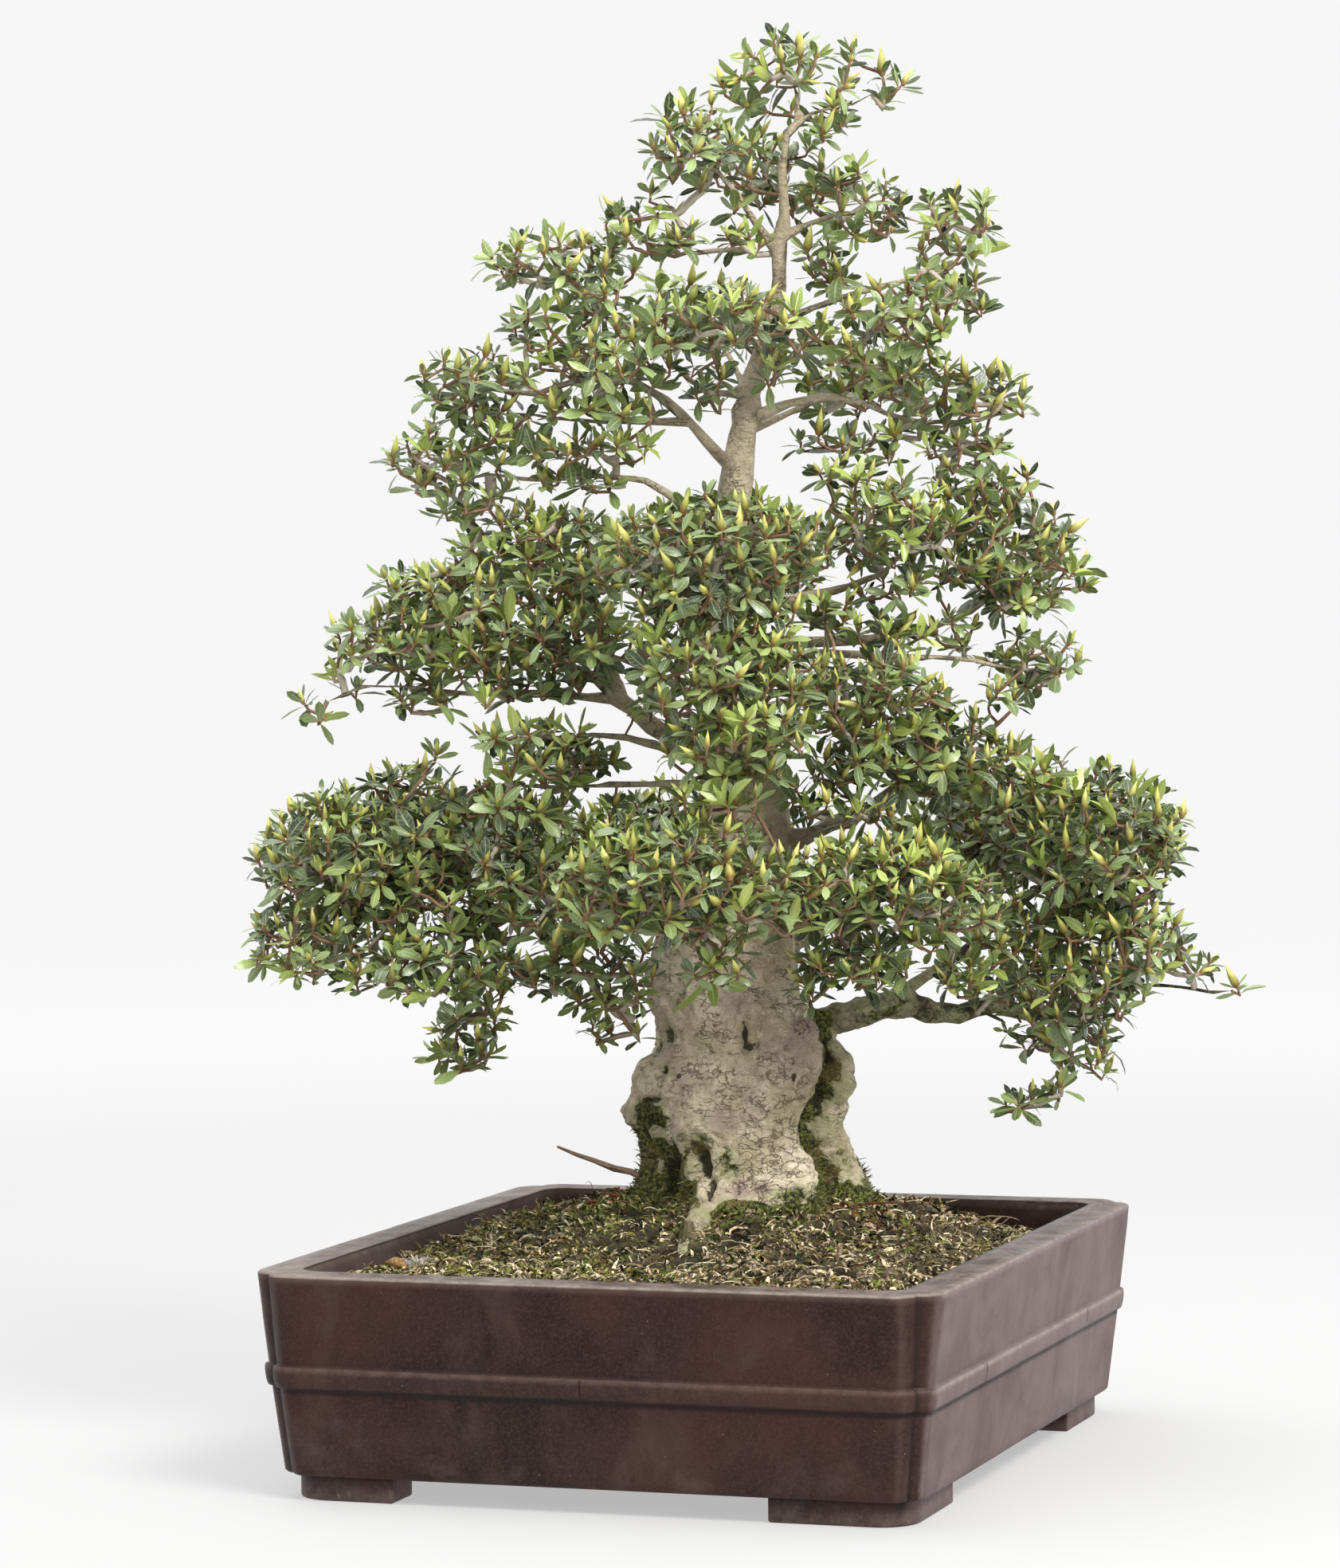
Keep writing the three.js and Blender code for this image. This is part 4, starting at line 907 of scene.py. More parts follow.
def moss_cover(points, local, heavy):
    """Where the wood is mossy, apart from its marks."""
    x, y, z = local.T
    sides = smoothstep(2, -22, x) + smoothstep(52, 68, x) + smoothstep(-20, 10, y)
    fringe = lerp(FRINGE_FRONT, FRINGE_SIDES, np.clip(sides, 0, 1))
    above = above_dressing(points, local) / fringe + 0.45 * fractal(points, 13 * MM, 2, 3)
    moss = smoothstep(1.15, 0.45, above)
    moss *= 1 - 0.9 * closeness(local, *FRONT_ROOT)
    back = smoothstep(0, 30, y) * heavy * smoothstep(*BACK_MOSS, z)
    patches = 0.55 + 0.5 * noise(points, 30 * MM, 14)
    moss = np.maximum(moss, 0.75 * back * patches)
    down, up = LOW_LIMBS
    limbs = (1 - heavy) * smoothstep(*down, z) * smoothstep(*up, z)
    moss = np.maximum(moss, limbs * (0.50 + 0.35 * noise(points, 25 * MM, 8)))
    down, up = MIDDLE_MOSS
    middle = smoothstep(*down, z) * smoothstep(*up, z) * heavy
    return np.maximum(moss, middle * (0.35 + 0.3 * noise(points, 20 * MM, 15)))


def evened_wood():
    """The wood of the frame as one fine mesh with its CAD edges evened out, with its points, how stout
    it is at each (0 on a thin limb, 1 on the trunk), and how thick."""
    thing = linked("bark_trunk_and_branches", frame["nodes"]["trunk_and_branches"].data.copy())
    remesh = thing.modifiers.new("remesh", "REMESH")
    remesh.mode, remesh.voxel_size, remesh.use_smooth_shade = "VOXEL", WOOD_VOXEL, True
    applied(thing)
    largest_island(thing)
    mesh = thing.data
    points = coordinates(mesh)
    even = np.full(len(points), EVENNESS)
    thick = thickness(thing, points, vertex_normals(mesh), THICKEST)
    heavy = averaged(mesh, smoothstep(SLIM, STOUT, thick)[:, None], even, 14)[:, 0]
    thick = averaged(mesh, np.clip(thick, *LIMB_WIDTHS)[:, None], even, 10)[:, 0]
    points = averaged(mesh, points, EVEN_LIMB + EVEN_TRUNK * heavy, EVEN_ROUNDS)
    moved(mesh, points)
    return thing, points, heavy, thick


def wood():
    """The trunk, roots and limbs of the frame, evened out and given their bark's relief."""
    thing, points, heavy, thick = evened_wood()
    mesh = thing.data
    normals, local = vertex_normals(mesh), in_tree_frame(points)
    creases = np.abs(fractal(points, CREASE_SIZE, 2, 21))
    relief = heavy * (lumps(points, TRUNK_LUMPS) - CREASE_DEPTH * smoothstep(0.20, 0.0, creases))
    relief += (1 - heavy) * (thick / SLIM) * LIMB_HEIGHT * fractal(points, *LIMB_LUMPS)
    cut, (moss, shade_and_dark_limbs, purple) = marks(local, tree_of(thing))
    moss = np.clip(np.maximum(moss, moss_cover(points, local, heavy)), 0, 1)
    # Painted shade in the trunk's creases
    shade_and_dark_limbs = np.maximum(shade_and_dark_limbs, 0.18 * heavy * smoothstep(0.16, 0.0, creases))
    # The low limbs are made darker through the same channel
    down, up = LOW_LIMB_DARK
    low_limb = (1 - heavy) * smoothstep(*down, local[:, 2]) * smoothstep(*up, local[:, 2])
    shade_and_dark_limbs = np.maximum(shade_and_dark_limbs, low_limb * (0.45 + 0.3 * noise(points, 12 * MM, 33)))
    cut = averaged(mesh, cut[:, None], np.full(len(points), EVENNESS), 2)[:, 0]
    moved(mesh, points + normals * ((relief + cut) * MM)[:, None])
    store(thing, "bark", np.stack([moss, np.clip(shade_and_dark_limbs, 0, 1), purple], 1))
    store(thing, "girth", heavy)
    store(thing, "cracked", closeness(local, *CRACKED))
    store(thing, "living", moss * heavy)
    thinned(thing, 1 - heavy * smoothstep(*TRUNK_DETAIL, local[:, 2]))
    dress(thing, "bark", bark_material())
    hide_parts("trunk_and_branches")
    return thing


def thinned(thing, weights):
    """Fewer faces, above all where the weights are high."""
    group = thing.vertex_groups.new(name="limbs")
    steps = np.round(weights * 10).astype(int)
    for step in range(1, 11):
        group.add(np.flatnonzero(steps == step).tolist(), step / 10, "REPLACE")
    decimate = thing.modifiers.new("decimate", "DECIMATE")
    decimate.ratio, decimate.vertex_group = LIMB_DETAIL, "limbs"
    applied(thing)


# ------------------------------------------------------------------ rosettes of leaves

# A blade's stations along it, and its widths there on a dull and on a fresh leaf
LEAF_STATIONS = np.array([0.0, 0.22, 0.54, 0.82, 1.0])
DULL_WIDTHS = np.array([0.10, 0.60, 1.0, 0.78, 0.0])
FRESH_WIDTHS = np.array([0.12, 0.78, 1.0, 0.55, 0.0])
LEAF_LENGTH, LEAF_BREADTH = 15.0 * MM, 0.385
BUD_SIDES, BUD_RINGS = 5, np.array([0.0, 0.22, 0.5, 1.0])
BUD_WIDTHS = np.array([0.5, 1.0, 0.8, 0.04])

ROSETTE_SPACING = 13.4 * MM
TRIES = 26                             # places tried for each cube of that size
LOOSENING, LOOSE_HEIGHTS = 0.13, (430, 600)           # rosettes stand further apart high in the tree,
LOW_LOOSENING, LOW_LOOSE_HEIGHTS = 0.06, (330, 300)    # and a little so in its lowest masses (mm)
ROSETTE_DEPTH = 7.5 * MM               # how far inside its mass a rosette's middle lies
TOP_DEPTH = 4 * MM                     # and how much further at its top
BARE_BELOW, BARE_BELOW_SHARE = -0.35, 0.3             # fewer hang from a mass
BARE_DEPTH, BARE_SHARE = 19 * MM, 0.72    # inside this, a mass holds more twigs than leaves
BRIDGE_REACH = 10 * MM                 # how far outside two masses one may stand between them
BRIDGE_SHARE = 0.34                    # of the places tried there
SPACING_LEAST, SPACING_SPREAD = 0.82, 0.3      # of the usual distance between two rosettes
SPRAY_TRIES, SPRAY_SPACING = 60, 0.95
# How much a rosette leans out of its mass deep inside and near the outside, within what depth, how much
# it stands up there and under a mass, and how much chance turns it
LEAN_INSIDE, LEAN_OUTSIDE, LEAN_DEPTH = 0.12, 0.5, 14 * MM
UPRIGHT, HANGING, UNDERSIDE, AXIS_SPREAD, SPRAY_SPREAD = 1.0, 0.45, -0.6, 0.26, 0.25
FLAT_LEAN = np.array([1, 1, 0.3])      # how much of a slope's lean a rosette takes along each axis

# Rosettes: share that is young, share that is young or half fresh, and spread of their size
YOUNG_SHARE, FRESH_SHARE, SCALE_SPREAD = 0.13, 0.42, 0.16
YOUNG_LEAVES, DULL_LEAVES = (5, 8), (6, 11)
# Of a rosette's leaves, from the outermost to the innermost: size, lean and bend (degrees)
LEAF_SIZES, LEAF_LEANS, LEAF_BENDS = (1.05, 0.60), (78, 30), (52, 16)
LEAN_SPREAD, BEND_SPREAD, FOLD_SPREAD, ROLL_SPREAD = 13, 22, 13, 16      # degrees
DULL_FOLD, YOUNG_FOLD = -9, 28
STEM, LEAF_STEM = 5.5 * MM, 0.9 * MM   # length of stem that the leaves sit on, and how far from it
BUD_SHARE, BUD_LENGTH, BUD_WIDTH = 0.76, (12.4, 2.0), 0.35       # lengths in mm, width to length


def across_of(axis, rng):
    """A unit vector square to each axis, turned at random."""
    return unit(np.cross(axis, rng.normal(size=axis.shape)))


def turned(side, axis, angle):
    """A vector square to an axis, turned about it."""
    return side * np.cos(angle)[:, None] + np.cross(axis, side) * np.sin(angle)[:, None]


def leaves(base, axis, outward, length, breadth, lean, bend, fold, roll, fresh):
    """Leaf blades that rise from base at an angle `lean` off the axis towards outward, and bend on by
    `bend` to their tips. Returns points, quads, triangles, the place of each point on its blade and how
    many points a blade has."""
    count, rows = len(base), len(LEAF_STATIONS)
    angle = lean[:, None] + bend[:, None] * LEAF_STATIONS
    way = np.cos(angle)[..., None] * axis[:, None] + np.sin(angle)[..., None] * outward[:, None]
    face = np.sin(angle)[..., None] * axis[:, None] - np.cos(angle)[..., None] * outward[:, None]
    step = np.diff(LEAF_STATIONS)[None, :, None] * (way[:, 1:] + way[:, :-1]) / 2
    spine = np.concatenate([np.zeros((count, 1, 3)), np.cumsum(step, 1)], 1) * length[:, None, None]
    spine += base[:, None]
    side = np.cross(way, face)
    side, face = (
        side * np.cos(roll)[:, None, None] + face * np.sin(roll)[:, None, None],
        face * np.cos(roll)[:, None, None] - side * np.sin(roll)[:, None, None])
    widths = lerp(DULL_WIDTHS, FRESH_WIDTHS, fresh[:, None]) * (length * breadth / 2)[:, None]
    points, place = [], []
    for part in (-1, 0, 1):
        out = side * (part * widths * np.cos(fold)[:, None])[..., None]
        lift = face * (abs(part) * widths * np.sin(fold)[:, None])[..., None]
        points.append(spine + out + lift)
        place.append(np.stack([np.full((count, rows), part), np.tile(LEAF_STATIONS, (count, 1))], 2))
    points = np.stack(points, 2).reshape(count, -1, 3)
    place = np.stack(place, 2).reshape(count, -1, 2)
    row = np.arange(rows - 2)[:, None] * 3
    quads = np.concatenate([row + [0, 1, 4, 3], row + [1, 2, 5, 4]])
    last = (rows - 2) * 3
    triangles = np.array([[last, last + 1, last + 4], [last + 1, last + 2, last + 4]])
    keep = np.ones(rows * 3, bool)
    keep[[-3, -1]] = False
    renumber = np.cumsum(keep) - 1
    per = int(keep.sum())
    start = np.arange(count)[:, None, None] * per
    quads = (renumber[quads][None] + start).reshape(-1, 4)
    triangles = (renumber[triangles][None] + start).reshape(-1, 3)
    return points[:, keep].reshape(-1, 3), quads, triangles, place[:, keep].reshape(-1, 2), per


def buds(base, axis, length, width, rng):
    """Slim pointed buds. Returns points, quads, the place of each point on its bud and how many points
    a bud has."""
    count, rings = len(base), len(BUD_RINGS)
    side = across_of(axis, rng)
    other = np.cross(axis, side)
    turn = 2 * math.pi * np.arange(BUD_SIDES) / BUD_SIDES
    ring = np.cos(turn)[None, :, None] * side[:, None] + np.sin(turn)[None, :, None] * other[:, None]
    out = ring[:, None] * (BUD_WIDTHS[None, :, None, None] * width[:, None, None, None] / 2)
    spine = base[:, None] + axis[:, None] * (BUD_RINGS[None, :, None] * length[:, None, None])
    points = (spine[:, :, None] + out).reshape(-1, 3)
    along = np.tile(np.repeat(BUD_RINGS, BUD_SIDES), count)
    place = np.stack([np.tile(np.linspace(-1, 1, BUD_SIDES), count * rings), along], 1)
    start = np.arange(count)[:, None, None] * (rings * BUD_SIDES)
    quads = (ring_quads(BUD_SIDES, rings)[None] + start).reshape(-1, 4)
    return points, quads, place, rings * BUD_SIDES


class Spacing:
    """Places taken so far, in a grid, so that rosettes of neighbouring masses keep apart too."""

    def __init__(self):
        self.cells = {}

    def cell(self, p):
        return tuple(int(c) for c in np.floor(p / ROSETTE_SPACING))

    def free(self, p, gap):
        x, y, z = self.cell(p)
        for key in itertools.product((x - 1, x, x + 1), (y - 1, y, y + 1), (z - 1, z, z + 1)):
            if any(np.dot(q - p, q - p) < gap * gap for q in self.cells.get(key, ())):
                return False
        return True

    def take(self, p):
        self.cells.setdefault(self.cell(p), []).append(p)


def in_clearing(local):
    """Whether a place in the tree's frame (mm) is in a gap that stays free of leaves."""
    off = [(local - place) / radius for place, radius in CLEARINGS]
    return any(v @ v < 1 for v in off)


def beside_another(p, node, masses):
    """Whether a place lies close to a mass other than the one named."""
    for name, (tree, low, high) in masses.items():
        if name != node and (p > low - BRIDGE_REACH).all() and (p < high + BRIDGE_REACH).all():
            if tree.find_nearest(Vector(p), BRIDGE_REACH)[0] is not None:
                return True
    return False


def sample_mass(node, masses, spacing, rng):
    """Middles and axes of the rosettes of a mass of leaves: those that fill it, most of them near its
    outside, and those on the way to the masses next to it."""
    tree, low, high = masses[node]
    low, high = low - BRIDGE_REACH, high + BRIDGE_REACH
    count = int(np.prod(high - low) / ROSETTE_SPACING**3 * TRIES)
    tries, luck = rng.uniform(low, high, (count, 3)), rng.uniform(size=(count, 3))
    local = in_tree_frame(tries)
    kept, axes = [], []
    for p, near, (a, b, c) in zip(tries, local, luck):
        spot, normal, _, depth = tree.find_nearest(Vector(p))
        if (Vector(p) - spot).dot(normal) > 0:
            if b > BRIDGE_SHARE or depth > BRIDGE_REACH or not beside_another(p, node, masses):
                continue
        else:
            if depth < ROSETTE_DEPTH * (0.4 + a) + max(normal.z, 0) * TOP_DEPTH:
                continue
            if normal.z < BARE_BELOW and c < BARE_BELOW_SHARE:
                continue
            if depth > BARE_DEPTH and b < BARE_SHARE:
                continue
        loose = 1 + LOOSENING * smoothstep(*LOOSE_HEIGHTS, near[2])
        loose += LOW_LOOSENING * smoothstep(*LOW_LOOSE_HEIGHTS, near[2])
        room = ROSETTE_SPACING * loose * (SPACING_LEAST + SPACING_SPREAD * c)
        if in_clearing(near) or not spacing.free(p, room):
            continue
        spacing.take(p)
        kept.append(p)
        axes.append(rosette_axis(np.array(normal), depth, rng))
    return kept, axes


def rosette_axis(normal, depth, rng):
    """Mostly upright, leaning out of its mass near the outside."""
    outward = normal * FLAT_LEAN * (LEAN_INSIDE + LEAN_OUTSIDE * math.exp(-depth / LEAN_DEPTH))
    upward = UP * (UPRIGHT if normal[2] > UNDERSIDE else HANGING)
    return outward + upward + rng.normal(0, AXIS_SPREAD, 3)


def sample_spray(place, radius, spacing, rng):
    """Middles and axes of a few rosettes on longer shoots, between the masses."""
    kept, axes = [], []
    for _ in range(SPRAY_TRIES):
        offset = unit(rng.normal(size=3)) * rng.uniform() ** 0.4
        p = tree_point(np.array(place) + offset * radius)[0]
        if spacing.free(p, ROSETTE_SPACING * SPRAY_SPACING):
            spacing.take(p)
            kept.append(p)
            axes.append(UP + LEAN_OUTSIDE * offset * FLAT_LEAN + rng.normal(0, SPRAY_SPREAD, 3))
    return kept, axes


def leaf_blades(middles, axes, youth, scale, number, rng):
    """The leaves of rosettes with this many each. Returns what leaves() does, each leaf's rosette and
    share of the way in from the outermost, and whether it is young (1) or not (0)."""
    owner = np.repeat(np.arange(len(middles)), number)
    index = np.concatenate([np.arange(k) for k in number])
    share = index / np.maximum(number[owner] - 1, 1)
    axis = axes[owner]
    start = across_of(axes, rng)[owner]
    many = len(owner)
    outward = turned(start, axis, index * GOLDEN_ANGLE + rng.normal(0, 0.25, many))
    young = (youth[owner] == 1).astype(float)
    size = scale[owner] * rng.normal(1, 0.12, many)
    length = LEAF_LENGTH * size * lerp(*LEAF_SIZES, share) * lerp(1.0, 1.12, young)
    lean = np.radians(lerp(*LEAF_LEANS, share**0.9) + rng.normal(0, LEAN_SPREAD, many))
    lean = lerp(lean, lean * 0.72, young)
    bend = np.radians(lerp(*LEAF_BENDS, share) + rng.normal(0, BEND_SPREAD, many))
    bend = bend * lerp(1.0, 0.5, young)
    fold = np.radians(rng.normal(DULL_FOLD, FOLD_SPREAD, many)) + np.radians(YOUNG_FOLD) * young
    roll = np.radians(rng.normal(0, ROLL_SPREAD, many))
    base = middles[owner] - axis * (STEM * (1 - share) - 0.5 * MM)[:, None] + outward * LEAF_STEM
    breadth = LEAF_BREADTH * rng.normal(1, 0.12, many) * lerp(1.0, 0.9, young)
    made = leaves(base, axis, outward, length, breadth, lean, bend, fold, roll, young)
    return made, owner, share, young


def rosettes(name, middles, axes, youth, scale, rng):
    """One mesh of leaves and buds round the given middles. Youth and scale are nan where chance sets
    them."""
    count = len(middles)
    chance = rng.uniform(size=count)
    half_fresh = np.where(chance < FRESH_SHARE, rng.uniform(0.25, 0.7, count), 0.0)
    youth = np.where(np.isnan(youth), np.where(chance < YOUNG_SHARE, 1.0, half_fresh), youth)
    scale = np.where(np.isnan(scale), rng.normal(1, SCALE_SPREAD, count), scale)
    number = np.where(youth == 1, rng.integers(*YOUNG_LEAVES, count), rng.integers(*DULL_LEAVES, count))
    (points, quads, triangles, place, per_leaf), owner, share, young = leaf_blades(
        middles, axes, youth, scale, number, rng)
    many = len(owner)
    shade = np.clip(rng.normal(0.45, 0.30, count)[owner] + rng.normal(0, 0.30, many), 0, 1)
    fresh = np.clip(youth[owner] * lerp(0.35, 1.3, share), 0, 1)
    fresh = np.where(young > 0, rng.uniform(0.75, 1.0, many), fresh)
    has_bud = (youth < 1) & (rng.uniform(size=count) < BUD_SHARE)
    bud_count = int(has_bud.sum())
    bud_axis = unit(axes[has_bud] + rng.normal(0, 0.2, (bud_count, 3)))
    bud_length = rng.normal(*BUD_LENGTH, bud_count) * MM
    bud_points, bud_quads, bud_place, per_bud = buds(
        middles[has_bud] - bud_axis * 1.5 * MM, bud_axis, bud_length, bud_length * BUD_WIDTH, rng)
    bud_shade = rng.uniform(0, 1, bud_count)
    leaf_values = np.column_stack([place, np.repeat(shade, per_leaf)])
    bud_values = np.column_stack([bud_place, np.repeat(bud_shade, per_bud)])
    thing = mesh_object(
        name, np.concatenate([points, bud_points]),
        np.concatenate([quads, bud_quads + len(points)]), triangles)
    store(thing, "leaf", np.concatenate([leaf_values, bud_values]))
    store(thing, "fresh", np.concatenate([np.repeat(fresh, per_leaf), np.zeros(len(bud_points))]))
    is_bud = np.zeros(len(thing.data.polygons), np.int32)
    is_bud[len(quads):len(quads) + len(bud_quads)] = 1
    thing.data.polygons.foreach_set("material_index", is_bud)
    cell = np.concatenate([
        np.repeat(np.arange(many), per_leaf), many + np.repeat(np.arange(bud_count), per_bud)])
    blade_map(thing, cell, many + bud_count, np.concatenate([place, bud_place]))
    return thing


def blade_map(thing, cell, count, place):
    """A map that gives each blade and bud a cell of its own."""
    across = int(math.ceil(math.sqrt(count)))
    uv = np.stack([
        (cell % across + 0.5 + 0.42 * place[:, 0]) / across,
        (cell // across + 0.06 + 0.88 * place[:, 1]) / across], 1)
    layer = thing.data.uv_layers.new(name="OFBake")
    corner = values_of(thing.data.loops, "vertex_index", 1, np.int32)[:, 0]
    layer.uv.foreach_set("vector", uv[corner].astype(np.float32).ravel())


# ------------------------------------------------------------------ twigs

TIP_RADIUS, TWIG_LIMIT = 0.95 * MM, 3.2 * MM
THICKENING = 0.38                      # power of the count of tips that a twig's radius follows
YOUNG_RADIUS, OLD_RADIUS = 1.05 * MM, 1.9 * MM      # twigs age from one to the other
TWIG_STEP, TWIG_SWAY = 8 * MM, 0.07
WOOD_COST = 11 * MM                    # makes a twig fork from a twig before it starts from a limb
PATH_COST = 0.28                       # of the way along the twigs, to the way off them
KNEE = 6 * MM                          # straight end of a twig under its rosette
START_LEAN, KNEE_PULL = np.array([1.1, 1.1, 0.5]), 0.25
GROWTH_ROOM = 40000                    # points kept room for


def hermite(start, leave, end, arrive, steps):
    """Points after the start of a curve with these ends and directions."""
    t = np.linspace(0, 1, steps + 1)[1:, None]
    return (
        (2 * t**3 - 3 * t**2 + 1) * start + (t**3 - 2 * t**2 + t) * leave
        + (3 * t**2 - 2 * t**3) * end + (t**3 - t**2) * arrive)


class Growth:
    """Twigs that grow from points on the wood to the rosettes, each from the nearest wood or twig."""

    def __init__(self):
        self.place = np.zeros((GROWTH_ROOM, 3))
        self.length = np.zeros(GROWTH_ROOM)        # of the way along the twigs from the wood
        self.parent = np.full(GROWTH_ROOM, -1)
        self.tips = np.zeros(GROWTH_ROOM)
        self.used = 0
        self.paths = []

    def add(self, points, parent, length):
        low, high = self.used, self.used + len(points)
        self.place[low:high] = points
        self.parent[low:high] = parent
        self.length[low:high] = length
        self.used = high
        return np.arange(low, high)

    def reach(self, middles, axes, wood_points, rng):
        """Grows a twig to each rosette, those near the wood first."""
        first = self.used
        self.add(wood_points, -1, WOOD_COST / PATH_COST)
        gap = np.linalg.norm(middles[:, None] - wood_points[None], axis=2).min(1)
        for i in np.argsort(gap):
            knee = middles[i] - axes[i] * KNEE
            near = self.place[first:self.used]
            off = np.linalg.norm(near - knee, axis=1)
            choice = first + int(np.argmin(off + PATH_COST * self.length[first:self.used]))
            start, span = self.place[choice], float(off[choice - first])
            steps = max(1, int(round(span / TWIG_STEP)))
            curve = hermite(start, (knee - start) * START_LEAN, knee, axes[i] * span * KNEE_PULL, steps)
            curve[:-1] += rng.normal(0, TWIG_SWAY * TWIG_STEP, (steps - 1, 3))
            route = np.concatenate([curve, [middles[i]]])
            steps_long = np.linalg.norm(np.diff(np.concatenate([[start], route]), axis=0), axis=1)
            base_length = 0.0 if self.parent[choice] < 0 else self.length[choice]
            index = self.add(route, -1, base_length + np.cumsum(steps_long))
            self.parent[index] = np.concatenate([[choice], index[:-1]])
            self.tips[index[-1]] = 1
            self.paths.append(np.concatenate([[choice], index]))

    def tubes(self):
        """The twigs, as thick as the count of rosettes that they carry says."""
        for i in range(self.used - 1, -1, -1):
            if self.parent[i] >= 0:
                self.tips[self.parent[i]] += self.tips[i]
        made = Tubes()
        for path in self.paths:
            tips = self.tips[path].copy()
            tips[0] = tips[1]
            radii = np.minimum(TIP_RADIUS * np.maximum(tips, 1) ** THICKENING, TWIG_LIMIT)
            age = smoothstep(YOUNG_RADIUS, OLD_RADIUS, radii)
            radii[-1] *= 0.85
            made.add(self.place[path], radii, 5 if radii[0] > 1.5 * MM else 4, age)
        return made


# A dead shoot low on the left of the trunk: its path (mm), radii (mm) and age
DEAD_SHOOT = [
    (-26, 6, 156), (-38, 8, 160), (-47, 6, 165), (-57, 7, 167), (-68, 3, 172), (-79, 2, 176),
    (-90, 0, 181)]
DEAD_RADII, DEAD_AGE = np.array([2.3, 2.3, 1.9, 2.0, 1.5, 1.2, 0.7]), 0.2

# Loose sprays between the masses: the mass whose piece they join, their middle and their half sizes
SPRAYS = [
    ("apex", (75, 0, 777), (14, 22, 10)),
    ("apex_left", (-13, -5, 709), (14, 22, 8)),
    ("apex_left", (24, -8, 711), (12, 22, 8)),
    ("crown_right", (74, -10, 693), (16, 22, 16)),
    ("crown_right", (158, 5, 675), (10, 22, 14)),
    ("shoulder_left_outer", (-126, 0, 595), (16, 22, 8)),
    ("shoulder_left_outer", (-102, 0, 659), (10, 22, 13)),
    ("shoulder_left_inner", (-61, -10, 617), (14, 22, 8)),
    ("shoulder_left_inner", (4, -25, 625), (12, 22, 16)),
    ("shoulder_right_inner", (43, -15, 636), (10, 22, 14)),
    ("middle_right", (78, 0, 591), (26, 22, 8)),
    ("shoulder_right", (115, 5, 597), (20, 22, 8)),
    ("middle_left", (-108, -5, 502), (14, 22, 8)),
    ("middle_left_outer", (-165, -5, 448), (20, 22, 11)),
    ("middle_left_outer", (-123, -10, 456), (28, 22, 8)),
    ("middle_left_low", (-77, -20, 453), (26, 22, 9)),
    ("middle_left_low", (-31, -40, 445), (14, 22, 11)),
    ("middle_right_low", (71, -30, 491), (14, 22, 12)),
    ("middle_right", (109, -10, 509), (26, 22, 10)),
    ("middle_right_outer", (146, 0, 480), (13, 22, 15)),
    ("lower_right", (60, -60, 386), (16, 22, 9)),
    ("lower_right", (92, -50, 379), (12, 22, 7)),
    ("low_left_inner", (-92, -60, 287), (26, 22, 13)),
    ("low_left_inner", (-41, -60, 287), (11, 22, 16)),
    ("low_left_inner", (-143, -40, 240), (20, 22, 7)),
    ("low_right_front", (141, -60, 280), (18, 22, 12)),
    ("low_right_front", (58, -90, 278), (10, 22, 8)),
    ("low_right_hanging", (228, 0, 233), (8, 22, 14)),
    ("low_right_hanging", (181, 5, 203), (12, 22, 8)),
]

# Young rosettes in plain view: the mass they join, their middle, the way they face and their size
YOUNG = [
    ("lower_front", (0, -90, 285), (0.05, -0.85, -0.45), 1.75),
    ("lower_front", (60, -86, 330), (0.5, -0.6, 0.5), 1.25),
    ("low_front", (-12, -88, 318), (-0.2, -0.6, 0.7), 1.2),
    ("lower_right", (118, -84, 330), (0.2, -0.6, 0.8), 1.3),
]

# Openings through which the trunk or the light behind shows: middle and half sizes
CLEARINGS = [
    ((-133, -10, 405), (24, 60, 16)),
    ((-162, -20, 266), (14, 60, 10)),
    ((-48, 0, 552), (16, 60, 10)),
    ((32, -90, 365), (13, 60, 38)),
    ((15, -50, 605), (11, 60, 16)),
    ((-1, -80, 465), (12, 60, 16)),
    ((19, -80, 419), (12, 60, 14)),
]


# A mass's twigs start from the wood within a margin of its box, or else from the nearest points of it,
# and from no more than a limit
WOOD_MARGIN, NEAREST_WOOD, MOST_WOOD = 14 * MM, 40, 500


def wood_near(node, wood_points, rng):
    """Points of the wood from which the twigs of a mass may start."""
    low, high = box_of(node)
    near = wood_points[((wood_points > low - WOOD_MARGIN) & (wood_points < high + WOOD_MARGIN)).all(1)]
    if len(near) < 4:
        gap = np.linalg.norm(wood_points - (low + high) / 2, axis=1)
        near = wood_points[np.argsort(gap)[:NEAREST_WOOD]]
    return near[rng.permutation(len(near))[:MOST_WOOD]]


